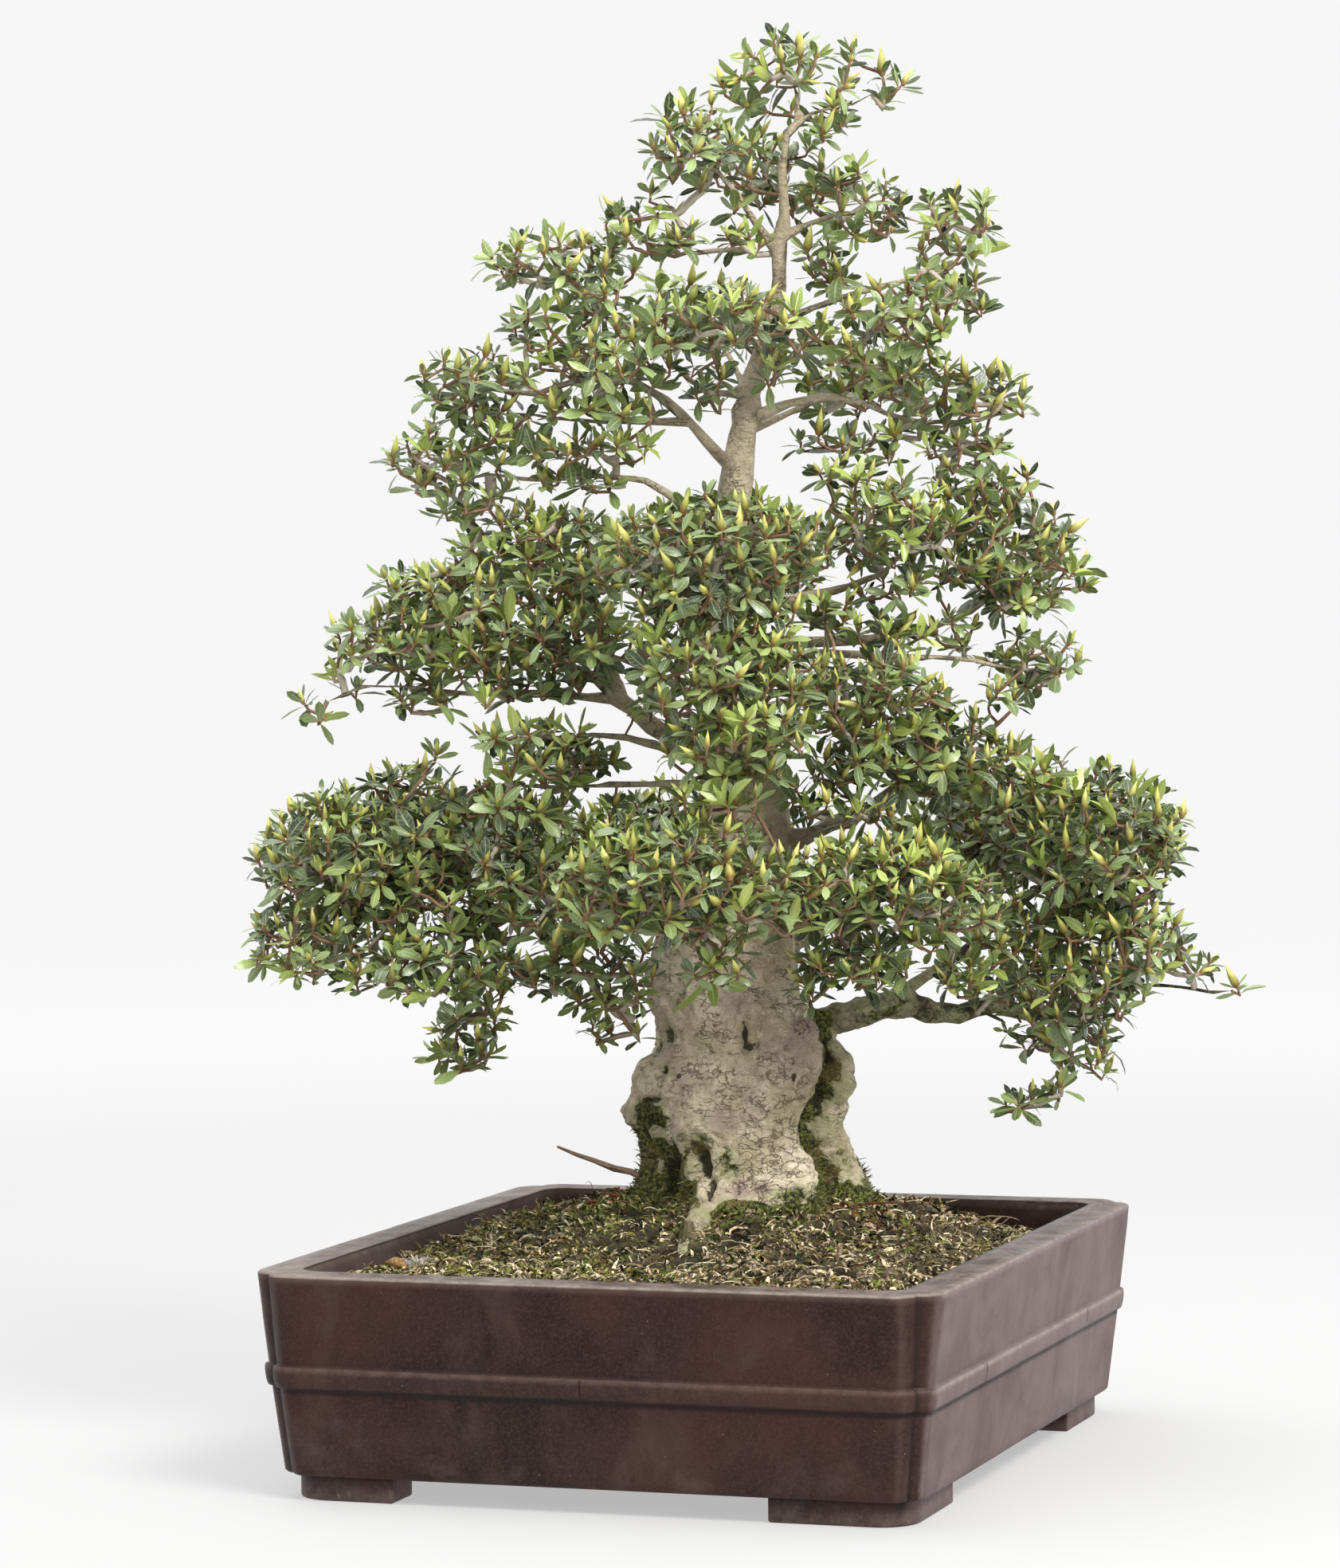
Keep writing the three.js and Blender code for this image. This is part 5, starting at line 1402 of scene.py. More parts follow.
def foliage(wood_points):
    """A piece of leaves and buds for each mass of the frame, and the twigs that carry them all."""
    rng = np.random.default_rng(11)
    growth, spacing = Growth(), Spacing()
    blades, bud_look = leaf_material(), bud_material()
    masses = {
        name: (tree_of(thing), *box_of(name))
        for name, thing in sorted(frame["nodes"].items()) if name.startswith("foliage_")}
    for node in masses:
        middles, axes = sample_mass(node, masses, spacing, rng)
        for mass, place, radius in SPRAYS:
            if node == "foliage_" + mass:
                more, more_axes = sample_spray(place, radius, spacing, rng)
                middles, axes = middles + more, axes + more_axes
        youth, size = np.full((2, len(middles)), np.nan)
        for mass, place, facing, scale in YOUNG:
            if node == "foliage_" + mass:
                middles.append(tree_point(place)[0])
                axes.append(tree_point(facing)[0] / MM - tree_point((0, 0, 0))[0] / MM)
                youth, size = np.append(youth, 1.0), np.append(size, scale)
        middles, axes = np.array(middles), unit(np.array(axes))
        growth.reach(middles, axes, wood_near(node, wood_points, rng), rng)
        piece = rosettes(node.replace("foliage", "leaves"), middles, axes, youth, size, rng)
        dress(piece, "leaf", blades, bud_look)
        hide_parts(node)
    tubes = growth.tubes()
    tubes.add(tree_point(DEAD_SHOOT), DEAD_RADII * MM, 8, [DEAD_AGE] * len(DEAD_RADII))
    twigs = tubes.made("twigs", "age")
    dress(twigs, "bark", twig_material())


# ------------------------------------------------------------------ pot

BELT_TOP, BELT_HEIGHT, BELT_PROUD = 76.5 * MM, 12.7 * MM, 2.3 * MM
FOOT_HEIGHT, TAPER, LIP = 14 * MM, 13.7 * MM, 21.7 * MM
FLOOR_TOP, WALL_AT_FLOOR = 27 * MM, 17 * MM
CORNER_AT_RIM, CORNER_AT_BASE, INNER_CORNER = 26 * MM, 17 * MM, 16 * MM
EDGE = 1.6 * MM                        # radius of the pot's edges
LONG_SIDE, STRAIGHT_STEPS = 60 * MM, 26      # an outline's longer sides are cut into steps
CORNER_STEPS, ROUND_STEPS, WALL_RINGS, BELT_STEPS = 11, 21, 7, 8
GROOVE_ROUND = 0.55                    # radius of the quarter rounds at a corner, to the corner's size
NOTCH_SHADE, NOTCH_HIGHLIGHT = 0.35, 0.45
POT_LUMPS = ((0.35 * MM, 75 * MM, 2, 41), (0.12 * MM, 14 * MM, 2, 43))
CHIP_SIZE, CHIP_FLOOR, CHIP_DEPTH, CHIP_DROP = 5 * MM, 0.35, 1.3, 0.8      # depth in mm
FOOT_INSET, FOOT_WIDTH = 5.5 * MM, 30 * MM
FOOT_LENGTHS = (78 * MM, 91 * MM)
FRONT_FOOT_LENGTHS = {-1: 68 * MM, 1: 86 * MM}      # at the left and at the right
FOOT_CORNER, FOOT_DUST = 22 * MM, 0.5
FOOT_SUNK = 0.6 * MM                   # how far a foot reaches up into the pot
DRAIN_RADIUS, DRAIN_OFFSET, DRAIN_SIDES = 17 * MM, 105 * MM, 48
DRAIN_CUT = (5 * MM, 35 * MM)          # from below the pot's floor to above it


def filled(points):
    """A closed outline with its long straight sides cut into steps."""
    made = []
    for a, b in zip(points, np.roll(points, -1, 0)):
        steps = STRAIGHT_STEPS if np.linalg.norm(b - a) > LONG_SIDE else 1
        made.append(lerp(a, b, np.arange(steps)[:, None] / steps))
    return np.concatenate(made)


def mirrored_corners(quarter):
    """The closed outline that has this corner at its right front and mirrors it at the others."""
    flip = quarter[::-1]
    return np.concatenate([quarter, flip * [1, -1], quarter * [-1, -1], flip * [-1, 1]])


def indented_outline(half, corner):
    """Two quarter rounds that meet in a groove at each corner."""
    radius = corner * GROOVE_ROUND
    groove = math.acos((corner / radius - 1) / math.sqrt(2)) - math.pi / 4
    a = np.linspace(-math.pi / 2, -groove, CORNER_STEPS)
    across, along = radius * np.cos(a), radius * np.sin(a)
    front = np.stack([half[0] - corner + across, -half[1] + radius + along], 1)
    side = np.stack([half[0] - radius - along, -half[1] + corner - across], 1)
    return mirrored_corners(np.concatenate([front, side[-2::-1]]))


def rounded_outline(half, corner, steps=ROUND_STEPS):
    """A rectangle with a quarter round at each corner."""
    a = np.linspace(-math.pi / 2, 0, steps)
    return mirrored_corners(np.stack([
        half[0] - corner + corner * np.cos(a), -half[1] + corner + corner * np.sin(a)], 1))


def pot():
    """The pot's walls as rings from under the floor, up the outside, over the rim and down inside. Each
    ring has a mark for what `clay` says of it. Returns how many of the rings are outside, too."""
    height = POT_HIGH[2]
    rings, marks = [], []

    def add(outline, z, mark):
        rings.append(np.column_stack([outline, np.full(len(outline), z)]))
        marks.append(mark)

    def outside(z, proud=0.0, mark=(0, 0, 0)):
        up = (z - FOOT_HEIGHT) / (height - FOOT_HEIGHT)
        corner = lerp(CORNER_AT_BASE, CORNER_AT_RIM, up**2)
        add(filled(indented_outline(POT_HALF - TAPER * (1 - up) + proud, corner)), z, mark)

    def inside(z, proud=0.0, mark=(0, 0, 0)):
        up = (z - FLOOR_TOP) / (height - FLOOR_TOP)
        wall = lerp(TAPER + WALL_AT_FLOOR, LIP, up) - proud
        add(filled(rounded_outline(POT_HALF - wall, INNER_CORNER + proud)), z, mark)

    outside(FOOT_HEIGHT, -2 * EDGE)
    outside(FOOT_HEIGHT + 0.3 * EDGE, -0.6 * EDGE)
    outside(FOOT_HEIGHT + 1.2 * EDGE)
    belt_low = BELT_TOP - BELT_HEIGHT
    for z in np.linspace(FOOT_HEIGHT + 6 * MM, belt_low - 4 * MM, WALL_RINGS):
        outside(z)
    # Painted shade in the groove under the belt
    outside(belt_low - 3.2 * MM, 0, (0, 0, 0.2))
    outside(belt_low - 1.6 * MM, 0, (0, 0, 1))
    outside(belt_low, 0, (0, 0, 1))
    # The belt's upper rings carry a painted highlight along its top edge
    for i in range(1, BELT_STEPS):
        a = math.pi * i / BELT_STEPS
        z = belt_low + BELT_HEIGHT * (1 - math.cos(a)) / 2
        outside(z, BELT_PROUD * math.sin(a) ** 0.4, (0, 0.9 if i >= 6 else 0.2, 0.5 * (i == 1)))
    outside(BELT_TOP, 0, (0, 0.35, 0.3))
    outside(BELT_TOP + 1.5 * MM, 0, (0, 0, 0.1))
    for z in np.linspace(BELT_TOP + 5 * MM, height - 5 * MM, WALL_RINGS):
        outside(z)
    outside(height - EDGE, 0, (0.15, 0.6, 0))
    outside(height - 0.35 * EDGE, -0.3 * EDGE, (0.6, 0.9, 0))
    outside(height, -EDGE, (1, 0.5, 0))
    top = len(rings)
    lip = filled(rounded_outline(POT_HALF - (LIP + EDGE), INNER_CORNER - EDGE))
    for share in (0.3, 0.7):
        add(lerp(rings[-1][:, :2], lip, share), height, (1, 0, 0))
    inside(height, -EDGE, (1, 0.7, 0))
    inside(height - 0.4 * EDGE, -0.3 * EDGE, (1, 1, 0))
    inside(height - 1.2 * EDGE, 0, (0.7, 0.3, 0))
    # The inner walls carry painted shade
    for z in (height - 6 * MM, height - 14 * MM, lerp(FLOOR_TOP, height, 0.4), FLOOR_TOP):
        inside(z, 0, (0.25 if z > height - 10 * MM else 0, 0, 0.4))
    return rings, marks, top


def in_notch(ring):
    """How far each point of an outline lies into its indented corners, from 0 on its sides to 1 in the
    grooves."""
    inset = (np.abs(ring[:, :2]).max(0) - np.abs(ring[:, :2])).min(1)
    return inset / inset.max()


def pot_clay(rings, marks, top):
    """What `clay` says at each vertex of the rings and at the two middles of the floor, with painted
    shade in the corner grooves and a painted highlight on the rounds beside them."""
    # The middle under the pot has none; the middle of the inner floor takes painted shade
    clay = np.concatenate([
        np.repeat(np.array(marks, float), len(rings[0]), 0), [[0, 0, 0]], [[0, 0, 0.4]]])
    notch = np.concatenate([in_notch(ring) for ring in rings[:top]])
    outer = clay[:len(notch)]
    bare = 1 - outer[:, 0]
    shade = NOTCH_SHADE * notch + (1 - NOTCH_SHADE) * smoothstep(0.72, 1.0, notch)
    bulge_highlight = NOTCH_HIGHLIGHT * bare * smoothstep(0.02, 0.18, notch) * smoothstep(0.5, 0.2, notch)
    outer[:, 2] = np.maximum(outer[:, 2], bare * shade)
    outer[:, 1] = np.maximum(outer[:, 1], bulge_highlight)
    return clay


def pot_piece():
    """The whole pot: its uneven walls and floor with the drain holes cut out, and its feet."""
    rings, marks, top = pot()
    sides = len(rings[0])
    points = np.concatenate([*rings, [[0, 0, FOOT_HEIGHT]], [[0, 0, FLOOR_TOP]]])
    clay = pot_clay(rings, marks, top)
    k = np.arange(sides)
    after = (k + 1) % sides
    under, within = len(points) - 2, len(points) - 1
    last = (len(rings) - 1) * sides
    triangles = np.concatenate([
        np.stack([np.full(sides, under), after, k], 1),
        np.stack([np.full(sides, within), last + k, last + after], 1)])
    chips = np.maximum(noise(points, CHIP_SIZE, 47) - CHIP_FLOOR, 0) * clay[:, 1] * CHIP_DEPTH * MM
    out = unit(points * [1, 1, 0])
    swell = lumps(points, POT_LUMPS) - chips
    points = points + out * swell[:, None] - UP * (chips * CHIP_DROP)[:, None]
    points += [POT_MIDDLE[0], POT_MIDDLE[1], 0]
    thing = mesh_object("clay_pot", points, ring_quads(sides, len(rings)), triangles)
    cut = prisms("drain_cut", [drain_outline(sign) for sign in (-1, 1)], *DRAIN_CUT)
    modifier = thing.modifiers.new("drains", "BOOLEAN")
    modifier.operation, modifier.object, modifier.solver = "DIFFERENCE", cut, "EXACT"
    applied(thing)
    bpy.data.objects.remove(cut)
    merge(thing, [foot(sx, sy) for sx in (-1, 1) for sy in (-1, 1)])
    for polygon in thing.data.polygons:
        polygon.use_smooth = True
    found = coordinates(thing.data)
    clay = clay[nearest_of(points, found)]
    clay[found[:, 2] < FOOT_HEIGHT - 1 * MM] = (FOOT_DUST, 0, 0)
    store(thing, "clay", clay)
    dress(thing, "clay", clay_material())
    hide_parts("pot")


def nearest_of(points, places):
    """The index of the point nearest to each place."""
    tree = KDTree(len(points))
    for i, p in enumerate(points):
        tree.insert(p, i)
    tree.balance()
    return [tree.find(place)[1] for place in places]


def prisms(name, outlines, low, high):
    """An object of upright prisms with these outlines, between two heights."""
    points, faces = [], []
    for outline in outlines:
        first, sides = len(points), len(outline)
        points += [(*place, z) for z in (low, high) for place in outline]
        lower = first + np.arange(sides)
        faces += (first + ring_quads(sides, 2)).tolist()
        faces += [lower[::-1].tolist(), (lower + sides).tolist()]
    mesh = bpy.data.meshes.new(name)
    mesh.from_pydata(points, [], faces)
    return linked(name, mesh)


def drain_outline(sign):
    """The outline of the front (-1) or the back (1) drain hole."""
    turn = 2 * math.pi * np.arange(DRAIN_SIDES) / DRAIN_SIDES
    x, y = DRAIN_RADIUS * np.cos(turn), DRAIN_RADIUS * np.sin(turn) + sign * DRAIN_OFFSET
    return np.stack([x, y], 1) + POT_MIDDLE[:2]


def foot(sx, sy):
    """An L-shaped foot under one corner, its outer edge just inside the pot's."""
    half = POT_HALF - TAPER
    outer, inner = half - FOOT_INSET, half - FOOT_INSET - FOOT_WIDTH
    corner = rounded_outline(outer, FOOT_CORNER, 9)
    length = FRONT_FOOT_LENGTHS[sx] if sy < 0 else FOOT_LENGTHS[0]
    reach_x, reach_y = half[0] - length, -(half[1] - FOOT_LENGTHS[1])
    plan = np.concatenate([
        [[reach_x, -half[1] + FOOT_INSET]], corner[:len(corner) // 4], [[outer[0], reach_y]],
        [[inner[0], reach_y]], [[inner[0], -inner[1]]], [[reach_x, -inner[1]]]])
    plan = plan * [sx, -sy]
    if sx * -sy < 0:
        plan = plan[::-1]
    thing = prisms("foot", [plan + POT_MIDDLE[:2]], 0.0, FOOT_HEIGHT + FOOT_SUNK)
    bevel = thing.modifiers.new("bevel", "BEVEL")
    bevel.width, bevel.segments = EDGE, 3
    bevel.limit_method, bevel.angle_limit = "ANGLE", math.radians(50)
    return applied(thing)


def merge(target, others):
    """Joins other objects into a piece."""
    bpy.ops.object.select_all(action="DESELECT")
    for other in (*others, target):
        other.select_set(True)
    bpy.context.view_layer.objects.active = target
    bpy.ops.object.join()


# ------------------------------------------------------------------ moss, soil and what lies on it

MOSS_CELL = 2.7 * MM
BITS, STRANDS, TUFTS = 24000, 1100, 2600
BIT_WIDTHS = np.array([0.55, 1.0, 0.8, 0.25])
GREEN, OLIVE, STRAW, TAN, BROWN, RUST, DARK = range(7)
MOSS_COLOURS = np.array([
    (0.190, 0.235, 0.042), (0.320, 0.280, 0.085), (0.960, 0.845, 0.540), (0.830, 0.640, 0.420),
    (0.200, 0.115, 0.058), (0.270, 0.070, 0.028), (0.022, 0.018, 0.010)])
# Of each colour: its share at the left and at the right, and how much of it there is round the trunk's
# foot and in patches besides
MOSS_MIX = (
    (0.22, 0.10, 0.85, 0.45), (0.62, 0.30, 0, 0.3), (0.34, 0.38, 0, 0.22), (0.16, 0.42, 0, 0.25),
    (0.10, 0.26, 0, 0.1), (0.012, 0.012, 0, 0), (0.12, 0.24, 0, 0))
PATCH_SIZE, FOOT_PLACE, FOOT_SPREAD = 26 * MM, (5, -20), 80
RUST_SPOTS = (((82, -10), (30, 34), 1.0), ((-52, 5), (14, 20), 0.5))    # place, reach and amount
CLUMP_SIZE, CLUMP_TONES, BIT_TONES = 10 * MM, (0.64, 1.46), (0.3, 1.55)


def moss_shares(points):
    """How much of each colour the dressing holds at some places: green round the foot, olive and straw
    at the left, tan, brown and dark at the right, and rust behind the foot at both sides."""
    x, y, _ = in_tree_frame(points).T
    near = np.exp(-((x - FOOT_PLACE[0]) ** 2 + (y - FOOT_PLACE[1]) ** 2) / FOOT_SPREAD**2)
    right = smoothstep(-70, 110, x - 0.3 * y)
    shares = np.stack([
        lerp(at_left, at_right, right) + round_foot * near * (1 - 0.6 * right)
        + patchy * noise(points, PATCH_SIZE, 61 + i)
        for i, (at_left, at_right, round_foot, patchy) in enumerate(MOSS_MIX)], 1)
    rust = sum(
        much * np.exp(-((x - place[0]) ** 2 / reach[0]**2 + (y - place[1]) ** 2 / reach[1]**2))
        for place, reach, much in RUST_SPOTS)
    shares[:, RUST] += 0.75 * rust
    shares = np.clip(shares, 0.005, None)
    return shares / shares.sum(1, keepdims=True)


def moss_tints(points, rng):
    """A colour for each bit of moss, picked by the shares of its place."""
    luck = rng.uniform(size=(len(points), 1))
    pick = np.minimum((np.cumsum(moss_shares(points), 1) < luck).sum(1), len(MOSS_COLOURS) - 1)
    clump = lerp(*CLUMP_TONES, smoothstep(-0.4, 0.4, noise(points, CLUMP_SIZE, 83)))[:, None]
    return MOSS_COLOURS[pick] * (clump * rng.uniform(*BIT_TONES, (len(points), 1))).clip(0, 1.3)


def heights(tree, xy):
    """Height of the dressing's top at each place, or nan where the wood stands in it."""
    found = np.full(len(xy), np.nan)
    top = POT_HIGH[2] + 80 * MM
    for i, (x, y) in enumerate(xy):
        hit = tree.ray_cast(Vector((x, y, top)), Vector((0, 0, -1)))
        if hit[0] is not None and hit[0].z > POT_HIGH[2] - 30 * MM:
            found[i] = hit[0].z
    return found


BED_LUMPS = ((2.4, 17 * MM, 2, 71), (3.0, 7.5 * MM, 2, 73))      # heights in mm
BED_SUNK, BED_SKIRT = 3.4, 9           # how far below its CAD solid it lies, and its outline (mm)
TRUNK_REACH = 0.12                     # the trunk stands within this of the pot's middle
BED_SHADE, PIT_SHADE = 0.42, 0.36        # its colours to those of the bits, darker as painted shade under them, and how much less in a pit, as deeper painted shade


def bed_plan():
    """A grid of places over the dressing: its counts, its places and which are on its outline."""
    low, high = np.array(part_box("moss"))[:, :2]
    count = np.ceil((high - low) / MOSS_CELL).astype(int)
    half, middle = (high - low) / 2 - 0.2 * MM, (high + low) / 2
    x, y = np.meshgrid(*(np.linspace(-1, 1, k) for k in count), indexing="ij")
    corner = INNER_CORNER / half
    into = (np.abs(x) - 1 + corner[0]).clip(0) / corner[0]
    reach = np.minimum(1 - corner[1] * (1 - np.sqrt(np.clip(1 - into**2, 0, 1))), 1)
    flat = np.stack([x * half[0], y * reach * half[1]], 2).reshape(-1, 2) + middle
    return count, flat, ((np.abs(x) > 0.999) | (np.abs(y) > 0.999)).ravel()


def moss_bed():
    """The dressing as a fine uneven sheet over its CAD solid, with a skirt down the wall. Returns the
    places on it that can be seen, and how far each lies under the bumps round it (0 to 1)."""
    count, flat, rim = bed_plan()
    z = heights(tree_of(frame["nodes"]["moss"]), flat)
    known = ~np.isnan(z)
    near_trunk = np.linalg.norm(flat - POT_MIDDLE[:2], axis=1) < TRUNK_REACH
    z[~known & near_trunk] = z[known].max() - 5 * MM      # out of sight inside the trunk
    z[~known & ~near_trunk] = z[known].min()
    points = np.column_stack([flat, z])
    rough = lumps(points, BED_LUMPS)
    points[:, 2] += np.where(rim, -BED_SKIRT, rough - BED_SUNK) * MM
    index = np.arange(count[0] * count[1]).reshape(count)
    quads = np.stack([index[:-1, :-1], index[1:, :-1], index[1:, 1:], index[:-1, 1:]], 2).reshape(-1, 4)
    thing = mesh_object("moss_bed", points, quads)
    pit = smoothstep(2.5, -2.5, rough)
    # The sheet takes the bits' colours, darkened as painted shade under them and more so in the pits
    store(thing, "tint", moss_shares(points) @ MOSS_COLOURS * (BED_SHADE - PIT_SHADE * pit[:, None]))
    dress(thing, "moss", moss_material("dry_moss"))
    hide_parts("moss")
    seen = ~rim & known
    return points[seen], pit[seen]


def ribbons(name, start, length, width, bearing, lift, curl, dip, roll, tint):
    """Narrow curled strips. `curl` turns the bearing and `dip` lowers the rise over a strip's length."""
    count, rows = len(start), len(BIT_WIDTHS)
    t = np.linspace(0, 1, rows)
    way = heading(bearing[:, None] + curl[:, None] * t, lift[:, None] - dip[:, None] * t)
    spine = np.concatenate([np.zeros((count, 1, 3)), np.cumsum(way[:, 1:] + way[:, :-1], 1) / 2], 1)
    spine = start[:, None] + spine * (length / (rows - 1))[:, None, None]
    side = unit(np.cross(way, UP + np.zeros_like(way)))
    side = side * np.cos(roll)[:, None, None] + np.cross(way, side) * np.sin(roll)[:, None, None]
    half = side * (BIT_WIDTHS * width[:, None] / 2)[..., None]
    points = np.stack([spine - half, spine + half], 2).reshape(-1, 3)
    row = 2 * np.arange(rows - 1)[:, None] + [0, 1, 3, 2]
    quads = (row[None] + (2 * rows * np.arange(count))[:, None, None]).reshape(-1, 4)
    thing = mesh_object(name, points, quads)
    store(thing, "tint", np.repeat(tint, 2 * rows, 0))
    dress(thing, "moss", moss_material(name))


def kept_inside(points):
    """Moves places on the dressing clear of the pot's wall."""
    low, high = np.array(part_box("moss"))[:, :2]
    points[:, :2] = np.clip(points[:, :2], low + 4 * MM, high - 4 * MM)
    return points


def moss_bits(surface, pit):
    """Short curled leaves and flakes of dead moss, which lie over one another and least in pits."""
    rng = np.random.default_rng(5)
    chance = (1.15 - pit) ** 1.8
    pick = rng.choice(len(surface), BITS, p=chance / chance.sum())
    jitter = rng.uniform(-0.5, 0.5, (BITS, 3)) * MOSS_CELL * [1, 1, 0]
    start = kept_inside(surface[pick] + jitter + UP * rng.uniform(-0.6, 1.6, (BITS, 1)) * MM)
    length = rng.gamma(6, 1.0, BITS) * MM
    width = rng.uniform(0.8, 2.3, BITS) * MM
    tint = moss_tints(start, rng)
    bearing, lift = rng.uniform(0, 2 * math.pi, BITS), rng.uniform(0.1, 1.1, BITS)
    curl, dip = rng.normal(0, 2.2, BITS), rng.uniform(0.2, 3.2, BITS)
    roll = rng.normal(0, 0.8, BITS)
    ribbons("moss_bits", start, length, width, bearing, lift, curl, dip, roll, tint)


# Things that lie on the dressing: place in the tree's frame (mm), length and thickness (mm), bearing,
# rise and curl (degrees) and colour
LITTER = [
    ((116, 34), 11, 6.0, 60, 75, 10, BROWN), ((119, 36), 8, 4.0, 40, 50, 0, DARK),      # stub
    ((128, 40), 26, 0.8, 10, 16, 60, TAN), ((136, 42), 20, 0.7, 150, 35, -90, STRAW),   # twigs behind
    ((146, 40), 16, 0.9, 20, 40, 90, BROWN), ((150, 90), 48, 0.8, -15, 14, -50, TAN),
    ((176, 96), 30, 0.7, 200, 30, 80, STRAW), ((74, -46), 34, 1.1, 130, 12, 20, STRAW),
    ((88, -30), 42, 1.5, 115, 10, -25, TAN), ((96, -70), 20, 1.8, 70, 10, 40, TAN),
    ((128, -64), 24, 1.9, 95, 14, -50, TAN), ((150, -90), 30, 1.6, 150, 8, 30, STRAW),
    ((-104, -30), 36, 0.9, 25, 16, 50, TAN), ((-96, -62), 30, 0.8, 60, 22, -50, BROWN),
    ((-60, 2), 16, 2.6, 190, 18, 30, RUST), ((-52, 8), 13, 2.0, 150, 30, -30, RUST),
    ((-101, -88), 9, 2.8, 80, 45, 20, RUST), ((-107, -122), 8, 2.6, 40, 30, 0, RUST),
    ((-131, 62), 20, 1.6, 110, 50, 40, BROWN), ((-70, 60), 30, 0.5, 95, 78, 15, RUST),
    ((76, -14), 40, 1.4, 320, 14, 40, RUST), ((66, -26), 30, 1.1, 200, 10, 30, RUST),
    ((20, -110), 22, 1.5, 30, 12, 40, STRAW), ((52, -120), 18, 1.7, 300, 14, -40, TAN),
]
# Radii along a thing of that list, to its thickness, and along a loose strand, to its own
LITTER_SHAPE, STRAND_SHAPE = np.array([0.7, 1.0, 0.9, 0.75, 0.3]), np.array([0.8, 1, 0.8, 0.3])
# A seed head with a tuft of threads: its place in the tree's frame (mm), radii (mm) and colours
SEED_HEAD = (-173, -98)
HULL, HULL_COLOUR = np.array([0.6, 2.4, 3.4, 3.0, 1.4, 0.4]), (0.50, 0.29, 0.13)
THREADS, THREAD, THREAD_COLOUR = 46, np.array([0.13, 0.1, 0.06]), (0.78, 0.77, 0.74)


def on_dressing(place, surface):
    """The point of the dressing under or over a place in the tree's frame."""
    flat = tree_point((*place, 0.0))[0, :2]
    return surface[np.linalg.norm(surface[:, :2] - flat, axis=1).argmin()].copy()


def litter(surface):
    """Bits of twig, bark and straw, loose strands, and a seed head with its tuft."""
    rng = np.random.default_rng(9)
    tubes = Tubes()

    def lay(start, length, radii, bearing, rise, curl, colour, steps=7):
        t = np.linspace(0, 1, steps)
        way = heading(bearing + TREE_TURN + curl * t, rise * (1 - 1.3 * t))
        path = start + np.cumsum(way, 0) * length / steps
        sides = 7 if radii.max() > 1.5 * MM else 4
        radii = np.interp(t, np.linspace(0, 1, len(radii)), radii)
        tubes.add(path, radii, sides, np.tile(colour, (steps, 1)))

    for place, length, thick, *turns, colour in LITTER:
        radii = LITTER_SHAPE * thick / 2 * MM
        lay(on_dressing(place, surface), length * MM, radii, *np.radians(turns), MOSS_COLOURS[colour])
    for start in kept_inside(surface[rng.integers(0, len(surface), STRANDS)]):
        radii = rng.uniform(0.25, 0.5) * STRAND_SHAPE * MM
        rise, curl = rng.uniform(0.1, 0.9), rng.normal(0, 2.0)
        colour = MOSS_COLOURS[rng.choice([STRAW, TAN, OLIVE, BROWN])] * rng.uniform(0.7, 1.3)
        lay(start, rng.uniform(7, 20) * MM, radii, rng.uniform(0, 2 * math.pi), rise, curl, colour, 6)
    base = on_dressing(SEED_HEAD, surface)
    turns = math.radians(155), math.radians(38), 0
    lay(base + UP * 1.5 * MM, 17 * MM, HULL * MM, *turns, HULL_COLOUR, 9)
    for _ in range(THREADS):
        bearing, rise = math.radians(rng.uniform(20, 160)), math.radians(rng.uniform(25, 85))
        lay(base + np.array([6, -2, 2]) * MM, 15 * MM, THREAD * MM, bearing, rise, 0, THREAD_COLOUR, 3)
    dress(tubes.made("litter", "tint"), "moss", moss_material("litter"))


# Living moss on the wood: where it ends (mm), where it thins out (mm), and its share above that
TUFT_TOP, TUFT_THINS, HIGH_TUFTS = (285, 270), (170, 220), 0.22


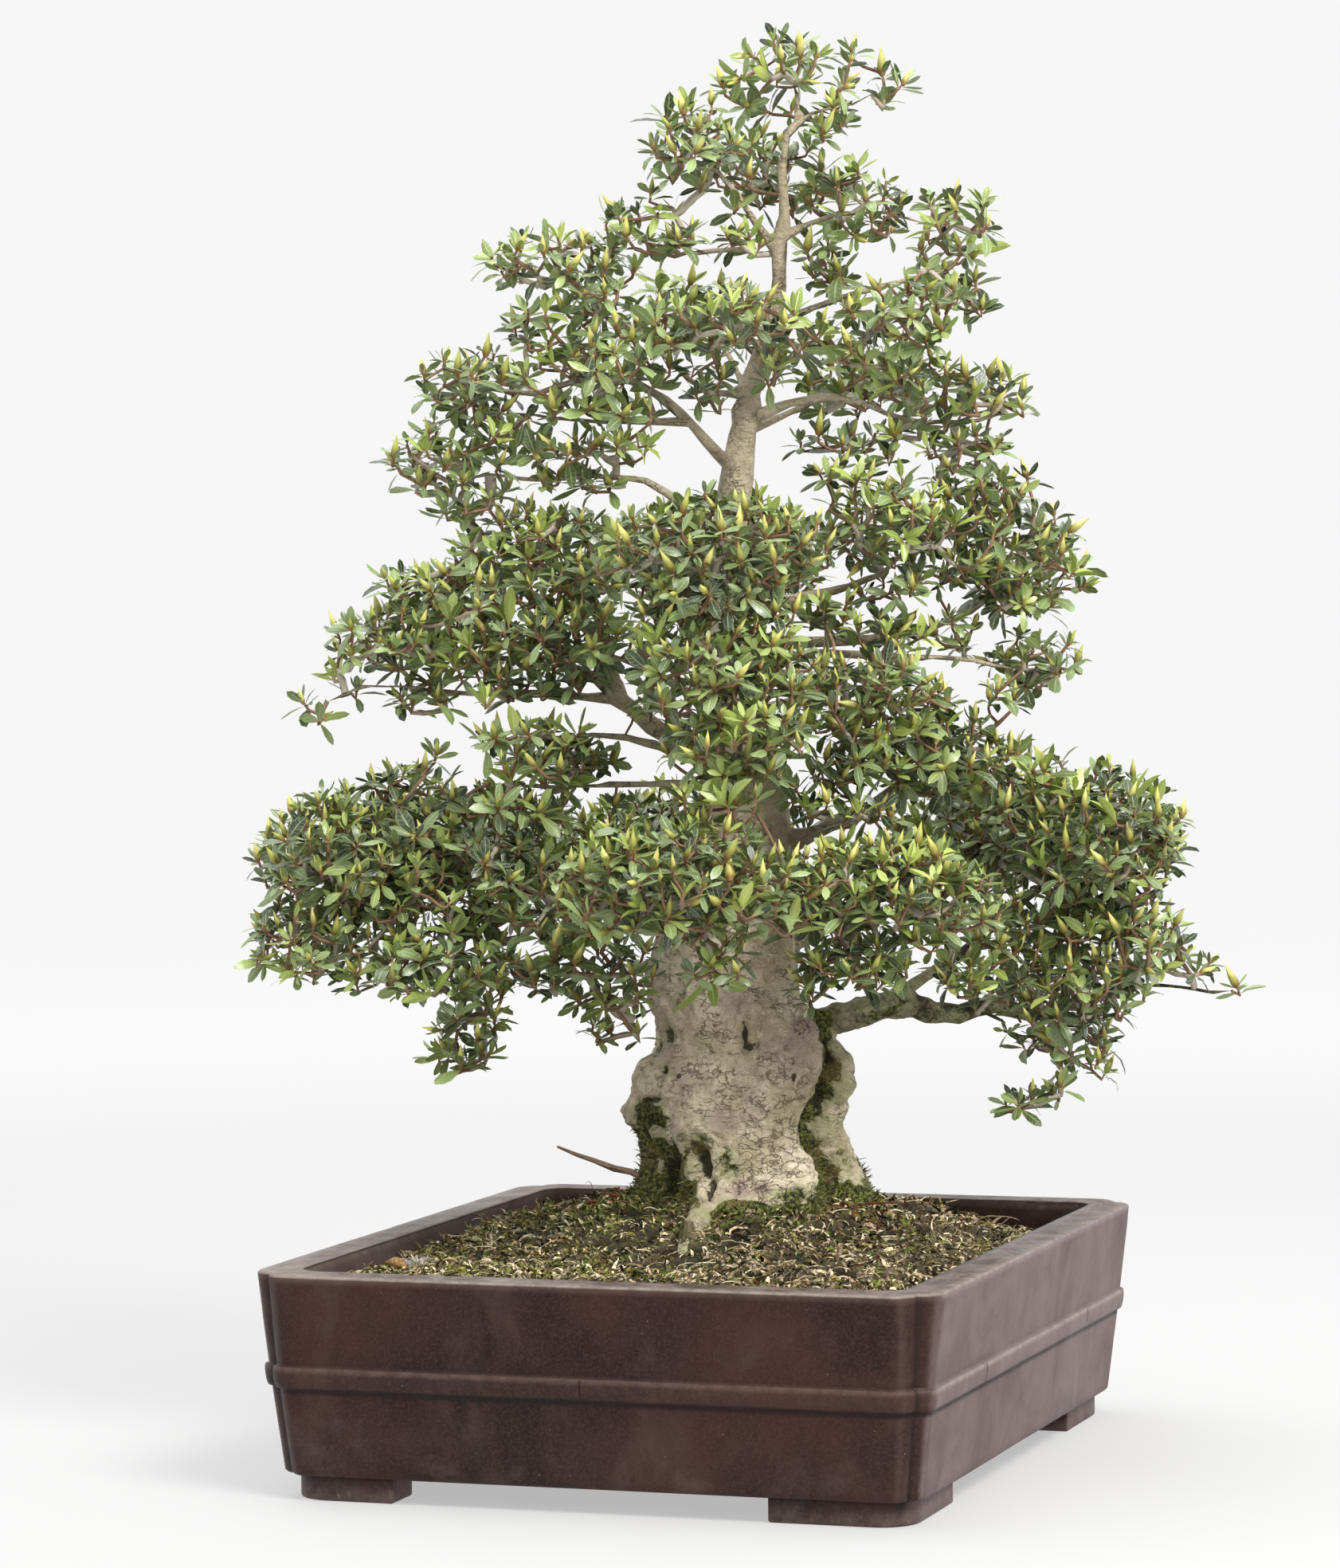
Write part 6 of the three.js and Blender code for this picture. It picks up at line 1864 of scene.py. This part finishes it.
def moss_on_wood(wood_thing):
    """Short blades of living moss where the bark is mossy, near the foot."""
    rng = np.random.default_rng(8)
    points, normals = coordinates(wood_thing.data), vertex_normals(wood_thing.data)
    up = in_tree_frame(points)[:, 2]
    living = values_of(wood_thing.data.attributes["living"].data, "value", 1)[:, 0]
    chance = np.clip(living - 0.35, 0, 1)
    chance *= smoothstep(*TUFT_TOP, up) * lerp(1.0, HIGH_TUFTS, smoothstep(*TUFT_THINS, up))
    picks = rng.choice(len(points), TUFTS, p=chance / chance.sum())
    normal = normals[picks]
    way = unit(normal + UP * 0.5 + rng.normal(0, 0.4, (TUFTS, 3)))
    green = MOSS_COLOURS[GREEN] * [1.15, 1.1, 0.9]
    tint = lerp(green, MOSS_COLOURS[DARK], rng.uniform(0, 1, (TUFTS, 1)) ** 1.5)
    start = points[picks] - normal * 0.4 * MM
    length, width = rng.uniform(2.2, 6.0, TUFTS) * MM, rng.uniform(0.5, 1.2, TUFTS) * MM
    bearing, lift = np.arctan2(way[:, 1], way[:, 0]), np.arcsin(way[:, 2])
    curl, dip = rng.normal(0, 0.5, TUFTS), rng.uniform(-0.4, 0.9, TUFTS)
    roll = rng.uniform(-1.5, 1.5, TUFTS)
    ribbons("moss_on_trunk", start, length, width, bearing, lift, curl, dip, roll, tint)


def inner_pieces():
    """The CAD nodes that stay: soil, drainage screens and their clips."""
    soil = plain_material("soil", (0.10, 0.06, 0.03), (0.36, 0.25, 0.14), 160, 0.95)
    screen = plain_material("screen", (0.012,) * 3, (0.03,) * 3, 900, 0.6)
    wire = plain_material(
        "clip_wire", (0.45, 0.45, 0.44), (0.7, 0.7, 0.69), 700, 0.35, Metallic=1.0)
    looks = {"soil": soil, "drain_screen": screen, "screen_clip": wire}
    for name, thing in frame["nodes"].items():
        for start, look in looks.items():
            if name.startswith(start):
                thing.data.materials.clear()
                thing.data.materials.append(look)


# ------------------------------------------------------------------ assembly

camera()
stage()
lights()
inner_pieces()
pot_piece()
wood_thing = wood()
foliage(coordinates(wood_thing.data))
dressing, pits = moss_bed()
moss_bits(dressing, pits)
litter(dressing)
moss_on_wood(wood_thing)
